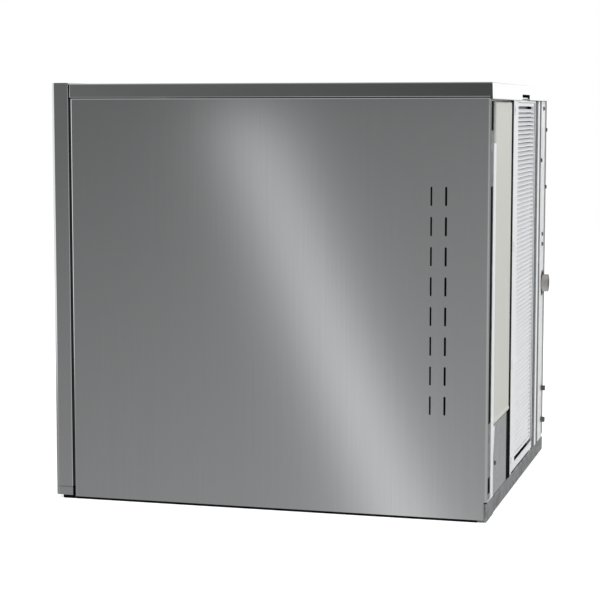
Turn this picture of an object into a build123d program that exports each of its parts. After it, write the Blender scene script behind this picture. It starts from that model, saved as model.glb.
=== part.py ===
from build123d import *
import os

# Ice machine head, 22 inches wide, made to stand on an ice bin.
# Millimetres, +Z up, the front faces -Y, the origin is the middle of the underside.

# Overall sizes
WIDTH = 559.0
DEPTH = 635.0
TOP_Z = 593.0
DOOR_TOP_Z = 594.3
SIDE_X = WIDTH / 2
FRONT_Y = -DEPTH / 2
REAR_Y = 308.2
TOP_REAR_Y = 311.5
FITTING_Y = DEPTH / 2

# Sheet metal
SHEET = 1.0
GALV = 1.5
FLANGE = 12.0
BEND = 2.0

# Door and the gap behind it
DOOR_BACK_Y = -291.4
DOOR_Z0 = 17.3
DOOR_CORNER = 5.0
TOP_FRONT_Y = -290.5
PANEL_FRONT_Y = -288.2
HINGE_X = -274.5
HINGE_Y = -312.4
PIN_R = 2.0
PIN_HOLE_R = PIN_R + 0.4

# Side panels
PANEL_Z0 = 3.3
PANEL_TOP_Z = 572.8
SLOT_Z0 = 157.7
SLOT_PITCH = 40.5
SLOT_ROWS = 8
SLOT_COLUMNS = ((230.1, 2.4), (250.2, 2.9))
SLOT_LENGTH = 25.7

# Base
GASKET_H = 3.0
PAN_Z0 = GASKET_H
PAN_HALF_W = 275.5
PAN_FRONT_Y = -286.5
PAN_REAR_Y = 300.0
PAN_WALL_H = 19.0
PAN_TOP_Z = PAN_Z0 + GALV

# Food zone
LINER_X0, LINER_X1 = 84.0, 272.0
LINER_Y0, LINER_Y1 = -286.4, 285.0
LINER_Z0, LINER_Z1 = 30.0, 565.0
LINER_WALL = 5.0
DROP_X0, DROP_X1 = 168.0, 262.0
DROP_Y0, DROP_Y1 = -250.0, 165.0
CELL = 26.0
CELL_COUNT = 12
FIN = 1.6
EVAP_X0, EVAP_X1 = 110.0, 134.0
EVAP_Y, EVAP_Z = -34.0, 341.0
EVAP_SIZE = CELL * CELL_COUNT + FIN
CURTAIN_X, CURTAIN_Z = 152.0, 500.0
TROUGH_X0, TROUGH_X1 = 92.0, 160.0
TROUGH_Y0, TROUGH_Y1 = -245.0, 262.0
TROUGH_TOP_Z = 108.0
TROUGH_X = (TROUGH_X0 + TROUGH_X1) / 2

# Rear opening and condenser
GRILLE_X0, GRILLE_X1 = -153.5, 23.5
GRILLE_Z0, GRILLE_Z1 = 41.0, 567.0
GRILLE_PITCH = 6.4
COVER_Z0 = 122.0
LOWER_FACE_Y = 306.0
CONDENSER_X = (GRILLE_X0 + GRILLE_X1) / 2
CONDENSER_Z = 304.0
FAN_Y = 231.0
COMPRESSOR_X, COMPRESSOR_Y = -165.0, 20.0

LOW = (Align.MIN, Align.MIN, Align.MIN)
UP = (Align.CENTER, Align.CENTER, Align.MIN)
ALONG_Y = (-90, 0, 0)
ALONG_X = (0, 90, 0)

os.makedirs("parts", exist_ok=True)
pieces = {}

# Seal to the bin: black foam strips under the base's sides, and a thicker one under the trim
STRIP_W = 12.4
STRIP_X = 272.7
STRIP_Y0, STRIP_Y1 = -288.0, 296.0
FRONT_STRIP_Y0 = -308.0
FRONT_STRIP_H = 4.7
FRONT_STRIP_CORNER = 5.0
UPSTAND_X0, UPSTAND_X1 = -262.0, 277.0
UPSTAND_H = 10.8
with BuildPart() as bin_gasket:
    with Locations((STRIP_X, (STRIP_Y0 + STRIP_Y1) / 2, 0), (-STRIP_X, (STRIP_Y0 + STRIP_Y1) / 2, 0)):
        Box(STRIP_W, STRIP_Y1 - STRIP_Y0, GASKET_H, align=UP)
    with BuildSketch():
        with Locations((0, (FRONT_STRIP_Y0 + STRIP_Y0 - 1) / 2)):
            front_strip = Rectangle(2 * STRIP_X + STRIP_W, STRIP_Y0 - 1 - FRONT_STRIP_Y0)
        fillet(front_strip.vertices().group_by(Axis.Y)[0], FRONT_STRIP_CORNER)
    extrude(amount=FRONT_STRIP_H)
    with Locations((UPSTAND_X0, DOOR_BACK_Y + 0.2, FRONT_STRIP_H)):
        Box(UPSTAND_X1 - UPSTAND_X0, STRIP_Y0 - DOOR_BACK_Y - 0.4, UPSTAND_H, align=LOW)
pieces["bin_gasket"] = bin_gasket

# Base pan: folded galvanised tray with the opening that the ice falls through
PAN_CORNER = 6.0
DROP_GAP = 5.0
DROP_CORNER = 3.0
with BuildPart() as base_pan:
    with BuildSketch(Plane.XY.offset(PAN_Z0)):
        with Locations((0, (PAN_FRONT_Y + PAN_REAR_Y) / 2)):
            RectangleRounded(2 * PAN_HALF_W, PAN_REAR_Y - PAN_FRONT_Y, PAN_CORNER)
    extrude(amount=PAN_WALL_H)
    offset(amount=-GALV, openings=base_pan.faces().sort_by(Axis.Z)[-1])
    with BuildSketch(Plane.XY.offset(PAN_Z0)):
        with Locations(((DROP_X0 + DROP_X1) / 2, (DROP_Y0 + DROP_Y1) / 2)):
            RectangleRounded(DROP_X1 - DROP_X0 + 2 * DROP_GAP, DROP_Y1 - DROP_Y0 + 2 * DROP_GAP, DROP_CORNER)
    extrude(amount=GALV, mode=Mode.SUBTRACT)
pieces["base_pan"] = base_pan

# Rear base rail: galvanised channel that closes the base at the back
RAIL_X0, RAIL_X1 = -278.2, 217.5
RAIL_H = 22.5
RAIL_BACK_Y = 308.0
with BuildPart() as rear_base_rail:
    with BuildSketch(Plane.YZ.offset(RAIL_X0)):
        with Locations(((PAN_REAR_Y + RAIL_BACK_Y) / 2, RAIL_H / 2)):
            rail_outer = Rectangle(RAIL_BACK_Y - PAN_REAR_Y, RAIL_H)
        fillet(rail_outer.vertices().group_by(Axis.X)[-1], BEND)
        with Locations(((PAN_REAR_Y + RAIL_BACK_Y) / 2 - GALV, RAIL_H / 2)):
            Rectangle(RAIL_BACK_Y - PAN_REAR_Y, RAIL_H - 2 * GALV, mode=Mode.SUBTRACT)
    extrude(amount=RAIL_X1 - RAIL_X0)
pieces["rear_base_rail"] = rear_base_rail

# Rear corner bracket: galvanised angle under the photographed corner
BRACKET_X0, BRACKET_X1 = 218.0, 277.2
BRACKET_H = 25.5
BRACKET_LEG = 45.0
with BuildPart() as rear_corner_bracket:
    with BuildSketch():
        with BuildLine():
            Polyline(
                (BRACKET_X0, REAR_Y),
                (BRACKET_X1, REAR_Y),
                (BRACKET_X1, REAR_Y - BRACKET_LEG),
                (BRACKET_X1 - GALV, REAR_Y - BRACKET_LEG),
                (BRACKET_X1 - GALV, REAR_Y - GALV),
                (BRACKET_X0, REAR_Y - GALV),
                close=True,
            )
        make_face()
    extrude(amount=BRACKET_H)
    fillet(rear_corner_bracket.edges().filter_by(Axis.Z).sort_by(Axis.Y)[-2:].sort_by(Axis.X)[-1], 1)
    with Locations((BRACKET_X1, STRIP_Y1 + 0.2, 0)):
        Box(8, BRACKET_LEG, GASKET_H + 0.1, align=(Align.CENTER, Align.MAX, Align.MIN), mode=Mode.SUBTRACT)
pieces["rear_corner_bracket"] = rear_corner_bracket

# Front frame: stainless frame with a window for the food zone and one for the machinery
FRAME_HALF_W = 267.2
FRAME_Z0, FRAME_Z1 = 3.3, 571.2
FRAME_BACK_Y = -286.5
MACHINE_WINDOW = (-255.0, 62.0, 30.0, 560.0)
FOOD_WINDOW = (90.0, 262.0, 38.0, 557.0)
WINDOW_CORNER = 8.0
with BuildPart() as front_frame:
    with BuildSketch(Plane.XZ.offset(-FRAME_BACK_Y)):
        with Locations((0, (FRAME_Z0 + FRAME_Z1) / 2)):
            Rectangle(2 * FRAME_HALF_W, FRAME_Z1 - FRAME_Z0)
        for x0, x1, z0, z1 in (MACHINE_WINDOW, FOOD_WINDOW):
            with Locations(((x0 + x1) / 2, (z0 + z1) / 2)):
                RectangleRounded(x1 - x0, z1 - z0, WINDOW_CORNER, mode=Mode.SUBTRACT)
    extrude(amount=GALV)
pieces["front_frame"] = front_frame

# Side panels: stainless sheet folded on three sides, with eight rows of slots near the rear,
# the front column a little narrower
RELIEF_Z = 28.0
slot_z = SLOT_Z0 + SLOT_PITCH * (SLOT_ROWS - 1) / 2
with BuildPart() as right_side_panel:
    with Locations((SIDE_X - FLANGE, PANEL_FRONT_Y, PANEL_Z0)):
        Box(FLANGE, REAR_Y - PANEL_FRONT_Y, PANEL_TOP_Z - PANEL_Z0, align=LOW)
    outer_corner = right_side_panel.edges().filter_by(Axis.Z).group_by(Axis.X)[-1]
    top_edge = right_side_panel.faces().sort_by(Axis.Z)[-1].edges().sort_by(Axis.X)[-1:]
    fillet(outer_corner + top_edge, BEND)
    inner_face = right_side_panel.faces().sort_by(Axis.X)[0]
    bottom_face = right_side_panel.faces().sort_by(Axis.Z)[0]
    offset(amount=-SHEET, openings=[inner_face, bottom_face])
    with Locations((SIDE_X - FLANGE, REAR_Y - 3, PANEL_Z0)):
        Box(FLANGE, 3, RELIEF_Z - PANEL_Z0, align=LOW, mode=Mode.SUBTRACT)
    with BuildSketch(Plane.YZ.offset(SIDE_X)):
        for column_y, slot_width in SLOT_COLUMNS:
            with Locations((column_y, slot_z)):
                with GridLocations(0, SLOT_PITCH, 1, SLOT_ROWS):
                    SlotOverall(SLOT_LENGTH, slot_width, rotation=90)
    extrude(amount=-SHEET, mode=Mode.SUBTRACT)
pieces["right_side_panel"] = right_side_panel

with BuildPart() as left_side_panel:
    mirror(right_side_panel.part, about=Plane.YZ)
pieces["left_side_panel"] = left_side_panel

# Top panel: folded stainless lid, its flanges hemmed and leaning in a little, with a rear notch
TOP_FLANGE_Z = 571.0
SIDE_FLANGE_Z = 573.5
NOTCH_X, NOTCH_W, NOTCH_Z = -26.5, 74.0, 579.0
FLANGE_DRAFT = 2.0
HEM_H = 7.0
with BuildPart() as top_panel:
    with BuildSketch(Plane.XY.offset(TOP_FLANGE_Z)):
        with Locations((0, (TOP_FRONT_Y + TOP_REAR_Y) / 2)):
            RectangleRounded(WIDTH, TOP_REAR_Y - TOP_FRONT_Y, BEND)
    extrude(amount=TOP_Z - TOP_FLANGE_Z, taper=FLANGE_DRAFT)
    fillet(top_panel.faces().sort_by(Axis.Z)[-1].edges(), BEND - 0.5)
    offset(amount=-SHEET, openings=top_panel.faces().sort_by(Axis.Z)[0])
    for side in (-1, 1):
        with Locations((side * (SIDE_X - 1.5 * SHEET - 0.1), 0, SIDE_FLANGE_Z)):
            Box(SHEET, REAR_Y - TOP_FRONT_Y - 2 * FLANGE, HEM_H, align=UP)
    with Locations((0, (TOP_FRONT_Y + REAR_Y) / 2, TOP_FLANGE_Z)):
        Box(WIDTH, REAR_Y - TOP_FRONT_Y, SIDE_FLANGE_Z - TOP_FLANGE_Z, align=UP, mode=Mode.SUBTRACT)
    hem_level = top_panel.edges().filter_by_position(Axis.Z, SIDE_FLANGE_Z - 0.01, SIDE_FLANGE_Z + 0.01)
    hem_edges = hem_level.filter_by(Axis.Y).sort_by(Axis.X)
    fillet([hem_edges[0], hem_edges[-1]], SHEET - 0.1)
    with Locations((NOTCH_X, TOP_REAR_Y, TOP_FLANGE_Z)):
        Box(NOTCH_W, 4 * SHEET, NOTCH_Z - TOP_FLANGE_Z, align=UP, mode=Mode.SUBTRACT)
pieces["top_panel"] = top_panel

# Notch tab: the light tab of the frame that shows in the notch
TAB_W = 54.0
TAB_Z = 573.0
TAB_Y0, TAB_Y1 = 299.5, 310.3
TAB_CORNER = 3.0
with BuildPart() as notch_tab:
    with Locations((NOTCH_X - TAB_W / 2, TAB_Y0, TAB_Z)):
        Box(TAB_W, TAB_Y1 - TAB_Y0, GALV, align=LOW)
        Box(TAB_W, GALV, TOP_Z - SHEET - TAB_Z, align=LOW)
    fillet(notch_tab.edges().filter_by(Axis.Z).group_by(Axis.Y)[-1], TAB_CORNER)
pieces["notch_tab"] = notch_tab

# Right rear post: galvanised post with three cut-outs that show the foam behind
POST_X0, POST_X1 = 240.0, 272.0
POST_FACE_Y = REAR_Y - SHEET
POST_DEPTH = 20.0
POST_TOP_Z = 571.0
POST_CUTS = ((35.0, 57.0), (131.7, 454.0), (529.0, 568.0))
CUT_EDGE = 2.5
POST_FOAM_DEPTH = 15.0
with BuildPart() as right_rear_post:
    with Locations((POST_X0, POST_FACE_Y - POST_DEPTH, RELIEF_Z)):
        Box(POST_X1 - POST_X0, POST_DEPTH, POST_TOP_Z - RELIEF_Z, align=LOW)
    inside = right_rear_post.faces().sort_by(Axis.Y)[0]
    ends = right_rear_post.faces().filter_by(Axis.Z)
    offset(amount=-SHEET, openings=[inside, *ends])
    for cut_z0, cut_z1 in POST_CUTS:
        with Locations((POST_X0 + CUT_EDGE, POST_FACE_Y - 2 * SHEET, cut_z0)):
            Box(POST_X1 - POST_X0 - 2 * CUT_EDGE, 3 * SHEET, cut_z1 - cut_z0, align=LOW, mode=Mode.SUBTRACT)
pieces["right_rear_post"] = right_rear_post

with BuildPart() as post_foam:
    with Locations((POST_X0 + SHEET, POST_FACE_Y - SHEET - POST_FOAM_DEPTH, RELIEF_Z + 1)):
        Box(POST_X1 - POST_X0 - 2 * SHEET, POST_FOAM_DEPTH, POST_TOP_Z - RELIEF_Z - 2, align=LOW)
pieces["post_foam"] = post_foam

# Rear edge trim: white painted channel beside the post, with a lip at its foot and a gusset
# that tapers down over the lower panel
TRIM_X0, TRIM_X1 = 221.5, 239.5
TRIM_Z0, TRIM_Z1 = 26.8, 511.5
TRIM_DEPTH = 12.0
GUSSET_W, GUSSET_FOOT_Z = 17.0, 60.0
with BuildPart() as rear_edge_trim:
    with Locations((TRIM_X0, REAR_Y - TRIM_DEPTH, TRIM_Z0)):
        Box(TRIM_X1 - TRIM_X0, TRIM_DEPTH, TRIM_Z1 - TRIM_Z0, align=LOW)
    fillet(rear_edge_trim.edges().filter_by(Axis.Z).group_by(Axis.Y)[-1], BEND)
    offset(amount=-SHEET, openings=rear_edge_trim.faces().sort_by(Axis.Y)[0])
    with Locations((TRIM_X0, REAR_Y - TRIM_DEPTH, TRIM_Z0 - SHEET)):
        Box(POST_X1 - 4 - TRIM_X0, TRIM_DEPTH, SHEET, align=LOW)
    with BuildSketch(Plane.XZ.offset(-LOWER_FACE_Y - SHEET)):
        with BuildLine():
            Polyline(
                (TRIM_X0 + SHEET, COVER_Z0 - 1),
                (TRIM_X0 - GUSSET_W, COVER_Z0 - 1),
                (TRIM_X0, GUSSET_FOOT_Z),
                (TRIM_X0 + SHEET, GUSSET_FOOT_Z),
                close=True,
            )
        make_face()
    extrude(amount=SHEET)
pieces["rear_edge_trim"] = rear_edge_trim

# Rear insulation panel: moulded cover of the insulated food zone, with a rounded lip at its foot
COVER_X0, COVER_X1 = 78.5, 219.5
COVER_Z1 = 568.6
COVER_FACE_Y = REAR_Y - 1.2
COVER_DEPTH = 16.0
COVER_CORNER = 4.0
COVER_WALL = 3.0
LIP_R = 5.5
LIP_INSET = 5.0
with BuildPart() as rear_insulation_panel:
    with Locations((COVER_X0, COVER_FACE_Y - COVER_DEPTH, COVER_Z0)):
        Box(COVER_X1 - COVER_X0, COVER_DEPTH, COVER_Z1 - COVER_Z0, align=LOW)
    fillet(rear_insulation_panel.faces().sort_by(Axis.Y)[-1].edges(), COVER_CORNER)
    offset(amount=-COVER_WALL, openings=rear_insulation_panel.faces().sort_by(Axis.Y)[0])
    with BuildSketch(Plane.YZ.offset(COVER_X0 + LIP_INSET)):
        with Locations((COVER_FACE_Y + 1 - LIP_R, COVER_Z0 + LIP_R)):
            Circle(LIP_R)
    extrude(amount=COVER_X1 - COVER_X0 - 2 * LIP_INSET)
pieces["rear_insulation_panel"] = rear_insulation_panel

# Rear lower panel: galvanised sheet folded at its top and sides
LOWER_X0, LOWER_X1 = 92.0, 219.5
with BuildPart() as rear_lower_panel:
    with Locations((LOWER_X0, PAN_REAR_Y, RAIL_H)):
        Box(LOWER_X1 - LOWER_X0, LOWER_FACE_Y - PAN_REAR_Y, COVER_Z0 - RAIL_H, align=LOW)
    fillet(rear_lower_panel.edges().filter_by(Axis.Z).group_by(Axis.Y)[-1], BEND)
    offset(amount=-SHEET, openings=rear_lower_panel.faces().sort_by(Axis.Y)[0])
pieces["rear_lower_panel"] = rear_lower_panel

# Condenser frame: white painted frame round the grille, on two feet, with three spring clips
CFRAME_X0, CFRAME_X1 = -156.5, 65.5
CFRAME_Z0, CFRAME_Z1 = 26.0, 570.5
CFRAME_DEPTH = 7.5
CFRAME_FACE_Y = REAR_Y - 0.7
GRILLE_FOOT_GAP = 4.5
HANG_HOLE = (57.0, 44.0)
HANG_SLOT = (11.0, 5.0)
FOOT_W, FOOT_INSET = 14.0, 12.0
CLIPS_Z = (556.0, 360.0, 187.0)
CLIP_W, CLIP_H, CLIP_T = 9.0, 14.0, 1.2
with BuildPart() as condenser_frame:
    with Locations((CFRAME_X0, CFRAME_FACE_Y - CFRAME_DEPTH, CFRAME_Z0)):
        Box(CFRAME_X1 - CFRAME_X0, CFRAME_DEPTH, CFRAME_Z1 - CFRAME_Z0, align=LOW)
    fillet(condenser_frame.edges().filter_by(Axis.Z).group_by(Axis.Y)[-1], BEND - 0.5)
    offset(amount=-SHEET, openings=condenser_frame.faces().sort_by(Axis.Y)[0])
    with Locations((CONDENSER_X, CFRAME_FACE_Y - 1, GRILLE_Z0 - GRILLE_FOOT_GAP)):
        Box(
            GRILLE_X1 - GRILLE_X0 + 1,
            6,
            GRILLE_Z1 - GRILLE_Z0 + GRILLE_FOOT_GAP + 0.5,
            align=(Align.CENTER, Align.CENTER, Align.MIN),
            mode=Mode.SUBTRACT,
        )
    for clip_z in CLIPS_Z:
        with Locations((CFRAME_X1 - 4 - CLIP_W / 2, CFRAME_FACE_Y, clip_z)):
            Box(CLIP_W, 2 * CLIP_T, CLIP_H)
            Box(CLIP_W - 4, 4 * SHEET, 2.5, mode=Mode.SUBTRACT)
    with BuildSketch(Plane.XZ.offset(-CFRAME_FACE_Y)):
        with Locations(HANG_HOLE):
            SlotOverall(*HANG_SLOT, rotation=90)
    extrude(amount=2 * SHEET, mode=Mode.SUBTRACT)
    for foot_x in (CFRAME_X0 + FOOT_INSET, CFRAME_X1 - FOOT_INSET):
        with Locations((foot_x - FOOT_W / 2, CFRAME_FACE_Y - CFRAME_DEPTH, RAIL_H)):
            Box(FOOT_W, CFRAME_DEPTH - SHEET, CFRAME_Z0 - RAIL_H + SHEET, align=LOW)
pieces["condenser_frame"] = condenser_frame

# Condenser grille: one column of slanted bars between two stiles
GRILLE_Y0, GRILLE_Y1 = 301.5, 305.5
GRILLE_STILE = 5.0
BAR = 1.2
BAR_RISE = 1.9
bar_count = int((GRILLE_Z1 - GRILLE_Z0 - 2 * GRILLE_STILE) / GRILLE_PITCH)
bar_z0 = GRILLE_Z0 + GRILLE_STILE + GRILLE_PITCH / 2
with BuildPart() as condenser_grille:
    with BuildSketch(Plane.XZ.offset(-GRILLE_Y1)):
        with Locations((CONDENSER_X, (GRILLE_Z0 + GRILLE_Z1) / 2)):
            Rectangle(GRILLE_X1 - GRILLE_X0, GRILLE_Z1 - GRILLE_Z0)
            Rectangle(
                GRILLE_X1 - GRILLE_X0 - 2 * GRILLE_STILE,
                GRILLE_Z1 - GRILLE_Z0 - 2 * GRILLE_STILE,
                mode=Mode.SUBTRACT,
            )
    extrude(amount=GRILLE_Y1 - GRILLE_Y0)
    with BuildSketch(Plane.YZ.offset(GRILLE_X0 + GRILLE_STILE / 2)):
        for row in range(bar_count):
            z = bar_z0 + row * GRILLE_PITCH
            with BuildLine():
                Polyline(
                    (GRILLE_Y0, z + BAR_RISE),
                    (GRILLE_Y1, z - BAR_RISE),
                    (GRILLE_Y1, z - BAR_RISE + BAR),
                    (GRILLE_Y0, z + BAR_RISE + BAR),
                    close=True,
                )
            make_face()
    extrude(amount=GRILLE_X1 - GRILLE_X0 - GRILLE_STILE)
pieces["condenser_grille"] = condenser_grille

# Divider between the grille and the service panel: a light channel between two foam strips, and
# a third strip on the other side of the condenser frame
DIVIDER_X0, DIVIDER_X1 = -205.0, -186.5
DIVIDER_Z0, DIVIDER_Z1 = 22.5, 570.5
DIVIDER_DEPTH = 11.5
FOAM_STRIPS = ((-186.3, CFRAME_X0 - 0.1), (-223.3, DIVIDER_X0 - 0.2), (CFRAME_X1 + 0.1, COVER_X0 - 0.2))
FOAM_FACE_Y = REAR_Y - 0.9
FOAM_STRIP_DEPTH = 6.5
with BuildPart() as divider_foam:
    for foam_x0, foam_x1 in FOAM_STRIPS:
        with Locations((foam_x0, FOAM_FACE_Y - FOAM_STRIP_DEPTH, DIVIDER_Z0)):
            Box(foam_x1 - foam_x0, FOAM_STRIP_DEPTH, DIVIDER_Z1 - DIVIDER_Z0, align=LOW)
    with Locations((COVER_X0 - 0.2, FOAM_FACE_Y - FOAM_STRIP_DEPTH, DIVIDER_Z0)):
        Box(LOWER_X0 - COVER_X0, FOAM_STRIP_DEPTH - 1, COVER_Z0 - DIVIDER_Z0 - 0.2, align=LOW)
pieces["divider_foam"] = divider_foam

with BuildPart() as rear_divider:
    with Locations((DIVIDER_X0, REAR_Y - 0.5 - DIVIDER_DEPTH, DIVIDER_Z0)):
        Box(DIVIDER_X1 - DIVIDER_X0, DIVIDER_DEPTH, DIVIDER_Z1 - DIVIDER_Z0, align=LOW)
    fillet(rear_divider.edges().filter_by(Axis.Z).group_by(Axis.Y)[-1], BEND)
    offset(amount=-SHEET, openings=rear_divider.faces().sort_by(Axis.Y)[0])
pieces["rear_divider"] = rear_divider

# Service panel: galvanised cover with the water inlet, a slot and a folded edge
SERVICE_X0, SERVICE_X1 = -277.0, -223.5
SERVICE_Z0, SERVICE_Z1 = 22.5, 570.5
SERVICE_FACE_Y = REAR_Y - SHEET
INLET_X, INLET_Z = -257.0, 278.0
INLET_BODY_R = 9.0
INLET_CUT_H, INLET_CUT_W = 42.0, 27.0
INLET_PLATE_T = 4.0
SERVICE_DEPTH = 10.0
SERVICE_SLOT = (-253.5, 81.5)
SERVICE_SLOT_SIZE = (23.0, 5.0)
SERVICE_RIBS_X = (-240.0, -233.2)
SERVICE_RIB = (2.4, 1.0, 200.0)
SERVICE_RIB_Z = 430.0
with BuildPart() as rear_service_panel:
    with Locations((SERVICE_X0, SERVICE_FACE_Y - SERVICE_DEPTH, SERVICE_Z0)):
        Box(SERVICE_X1 - SERVICE_X0, SERVICE_DEPTH, SERVICE_Z1 - SERVICE_Z0, align=LOW)
    fillet(rear_service_panel.edges().filter_by(Axis.Z).group_by(Axis.Y)[-1].sort_by(Axis.X)[-1], BEND)
    front_face = rear_service_panel.faces().sort_by(Axis.Y)[0]
    far_face = rear_service_panel.faces().sort_by(Axis.X)[0]
    offset(amount=-SHEET, openings=[front_face, far_face])
    with BuildSketch(Plane.XZ.offset(-SERVICE_FACE_Y)):
        with Locations((INLET_X, INLET_Z)):
            SlotOverall(INLET_CUT_H, INLET_CUT_W, rotation=90)
        with Locations(SERVICE_SLOT):
            SlotOverall(*SERVICE_SLOT_SIZE, rotation=90)
    extrude(amount=2 * SHEET, mode=Mode.SUBTRACT)
    for rib_x in SERVICE_RIBS_X:
        with Locations((rib_x, SERVICE_FACE_Y, SERVICE_RIB_Z)):
            Box(*SERVICE_RIB)
pieces["rear_service_panel"] = rear_service_panel

# Inlet plate: moulded black plate behind the cut-out, which holds the fitting
PLATE_Y1 = SERVICE_FACE_Y - SHEET
PLATE_MARGIN = 5.0
PLATE_CORNER = 4.0
with BuildPart() as inlet_plate:
    with BuildSketch(Plane.XZ.offset(-PLATE_Y1)):
        with Locations((INLET_X, INLET_Z)):
            RectangleRounded(INLET_CUT_W + 2 * PLATE_MARGIN, INLET_CUT_H + 2 * PLATE_MARGIN, PLATE_CORNER)
            Circle(INLET_BODY_R + 0.2, mode=Mode.SUBTRACT)
    extrude(amount=INLET_PLATE_T)
pieces["inlet_plate"] = inlet_plate

# Water inlet fitting: plated coupling with a knurled collar, a back nut and a tapped bore
COLLAR_R = 14.0
KNURLS, KNURL_R = 24, 1.1
BACK_NUT_R, BACK_NUT_H = 13.0, 4.0
INLET_BORE_R = 7.4
INLET_BORE_L = 16.0
INLET_BACK_Y = 292.0
with BuildPart() as water_inlet_fitting:
    with BuildSketch(Plane.XZ.offset(-FITTING_Y)):
        with Locations((INLET_X, INLET_Z)):
            Circle(COLLAR_R)
            with PolarLocations(COLLAR_R + 0.4, KNURLS):
                Circle(KNURL_R, mode=Mode.SUBTRACT)
    extrude(amount=FITTING_Y - REAR_Y)
    with BuildSketch(Plane.XZ.offset(-REAR_Y)):
        with Locations((INLET_X, INLET_Z)):
            Circle(INLET_BODY_R)
    extrude(amount=REAR_Y - INLET_BACK_Y)
    with BuildSketch(Plane.XZ.offset(-PLATE_Y1 + INLET_PLATE_T)):
        with Locations((INLET_X, INLET_Z)):
            RegularPolygon(BACK_NUT_R, 6)
    extrude(amount=BACK_NUT_H)
    chamfer(water_inlet_fitting.edges().filter_by(GeomType.CIRCLE).sort_by(Axis.Y)[:1], 1)
    with BuildSketch(Plane.XZ.offset(-FITTING_Y)):
        with Locations((INLET_X, INLET_Z)):
            Circle(INLET_BORE_R)
    extrude(amount=INLET_BORE_L, mode=Mode.SUBTRACT)
pieces["water_inlet_fitting"] = water_inlet_fitting

# Rear screws: pan-head screws of the rear panels, and two hexagon bolts
# (X, Z and the height of the face in Y)
SCREW_R, SCREW_H = 3.6, 2.0
SCREWS = (
    (197.9, 67.4, LOWER_FACE_Y),
    (-247.5, 559.0, SERVICE_FACE_Y),
    (-227.5, 477.0, SERVICE_FACE_Y),
    (-246.5, 358.0, SERVICE_FACE_Y),
    (-248.5, 342.0, SERVICE_FACE_Y),
    (-273.5, 525.0, REAR_Y),
    (-273.5, 433.0, REAR_Y),
)
BOLTS = ((-262.0, 105.0), (-262.0, 53.0))
BOLT_R, BOLT_L = 4.6, 6.5
with BuildPart() as rear_screws:
    for x, z, y in SCREWS:
        with Locations(Location((x, y, z), ALONG_Y)):
            Cone(SCREW_R, SCREW_R - 1, SCREW_H, align=UP)
    for x, z in BOLTS:
        with BuildSketch(Plane.XZ.offset(-SERVICE_FACE_Y)):
            with Locations((x, z)):
                RegularPolygon(BOLT_R, 6)
        extrude(amount=-BOLT_L)
pieces["rear_screws"] = rear_screws

# Food zone liner: moulded plastic tub, open at the front, with an ice chute through its floor
LINER_CORNER = 8.0
CHUTE_WALL = 3.0
LINE_HOLE_R = 6.5
COIL_PORTS = ((140.0, 211.0), (140.0, 471.0))
FLOAT_PORT = (242.0, 130.0)
with BuildPart() as food_zone_liner:
    with Locations((LINER_X0, LINER_Y0, LINER_Z0)):
        Box(LINER_X1 - LINER_X0, LINER_Y1 - LINER_Y0, LINER_Z1 - LINER_Z0, align=LOW)
    fillet(food_zone_liner.edges().filter_by(Axis.Y), LINER_CORNER)
    offset(amount=-LINER_WALL, openings=food_zone_liner.faces().sort_by(Axis.Y)[0])
    with Locations(((DROP_X0 + DROP_X1) / 2, (DROP_Y0 + DROP_Y1) / 2, PAN_Z0 + 1)):
        Box(
            DROP_X1 - DROP_X0 + 2 * CHUTE_WALL,
            DROP_Y1 - DROP_Y0 + 2 * CHUTE_WALL,
            LINER_Z0 + LINER_WALL - PAN_Z0 - 1,
            align=UP,
        )
        Box(DROP_X1 - DROP_X0, DROP_Y1 - DROP_Y0, LINER_Z0 + LINER_WALL, align=UP, mode=Mode.SUBTRACT)
    with BuildSketch(Plane.YZ.offset(LINER_X0)):
        with Locations(*COIL_PORTS, FLOAT_PORT):
            Circle(LINE_HOLE_R)
    extrude(amount=LINER_WALL, mode=Mode.SUBTRACT)
pieces["food_zone_liner"] = food_zone_liner

# Side insulation: black foam sheet between the liner and the right side panel
INSULATION_T, INSULATION_INSET = 4.5, 10.0
insulation_y = (LINER_Y0 + LINER_Y1) / 2
with BuildPart() as side_insulation:
    with Locations((LINER_X1 + INSULATION_T / 2, insulation_y, LINER_Z0 + INSULATION_INSET)):
        Box(
            INSULATION_T,
            LINER_Y1 - LINER_Y0 - 2 * INSULATION_INSET,
            LINER_Z1 - LINER_Z0 - 2 * INSULATION_INSET,
            align=UP,
        )
pieces["side_insulation"] = side_insulation

# Evaporator plate: tinned copper grid of cube cells, open to the curtain, on four posts
POST_INSET, POST_R = 18.0, 6.0
with BuildPart() as evaporator_plate:
    with Locations(((EVAP_X0 + EVAP_X1) / 2, EVAP_Y, EVAP_Z)):
        Box(EVAP_X1 - EVAP_X0, EVAP_SIZE, EVAP_SIZE)
    with BuildSketch(Plane.YZ.offset(EVAP_X1)):
        with Locations((EVAP_Y, EVAP_Z)):
            with GridLocations(CELL, CELL, CELL_COUNT, CELL_COUNT):
                Rectangle(CELL - FIN, CELL - FIN)
    extrude(amount=-(EVAP_X1 - EVAP_X0 - FIN), mode=Mode.SUBTRACT)
    with BuildSketch(Plane.YZ.offset(LINER_X0 + LINER_WALL)):
        with Locations((EVAP_Y, EVAP_Z)):
            with GridLocations(EVAP_SIZE - POST_INSET, EVAP_SIZE - POST_INSET, 2, 2):
                Circle(POST_R)
    extrude(amount=EVAP_X0 - LINER_X0 - LINER_WALL)
pieces["evaporator_plate"] = evaporator_plate

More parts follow.
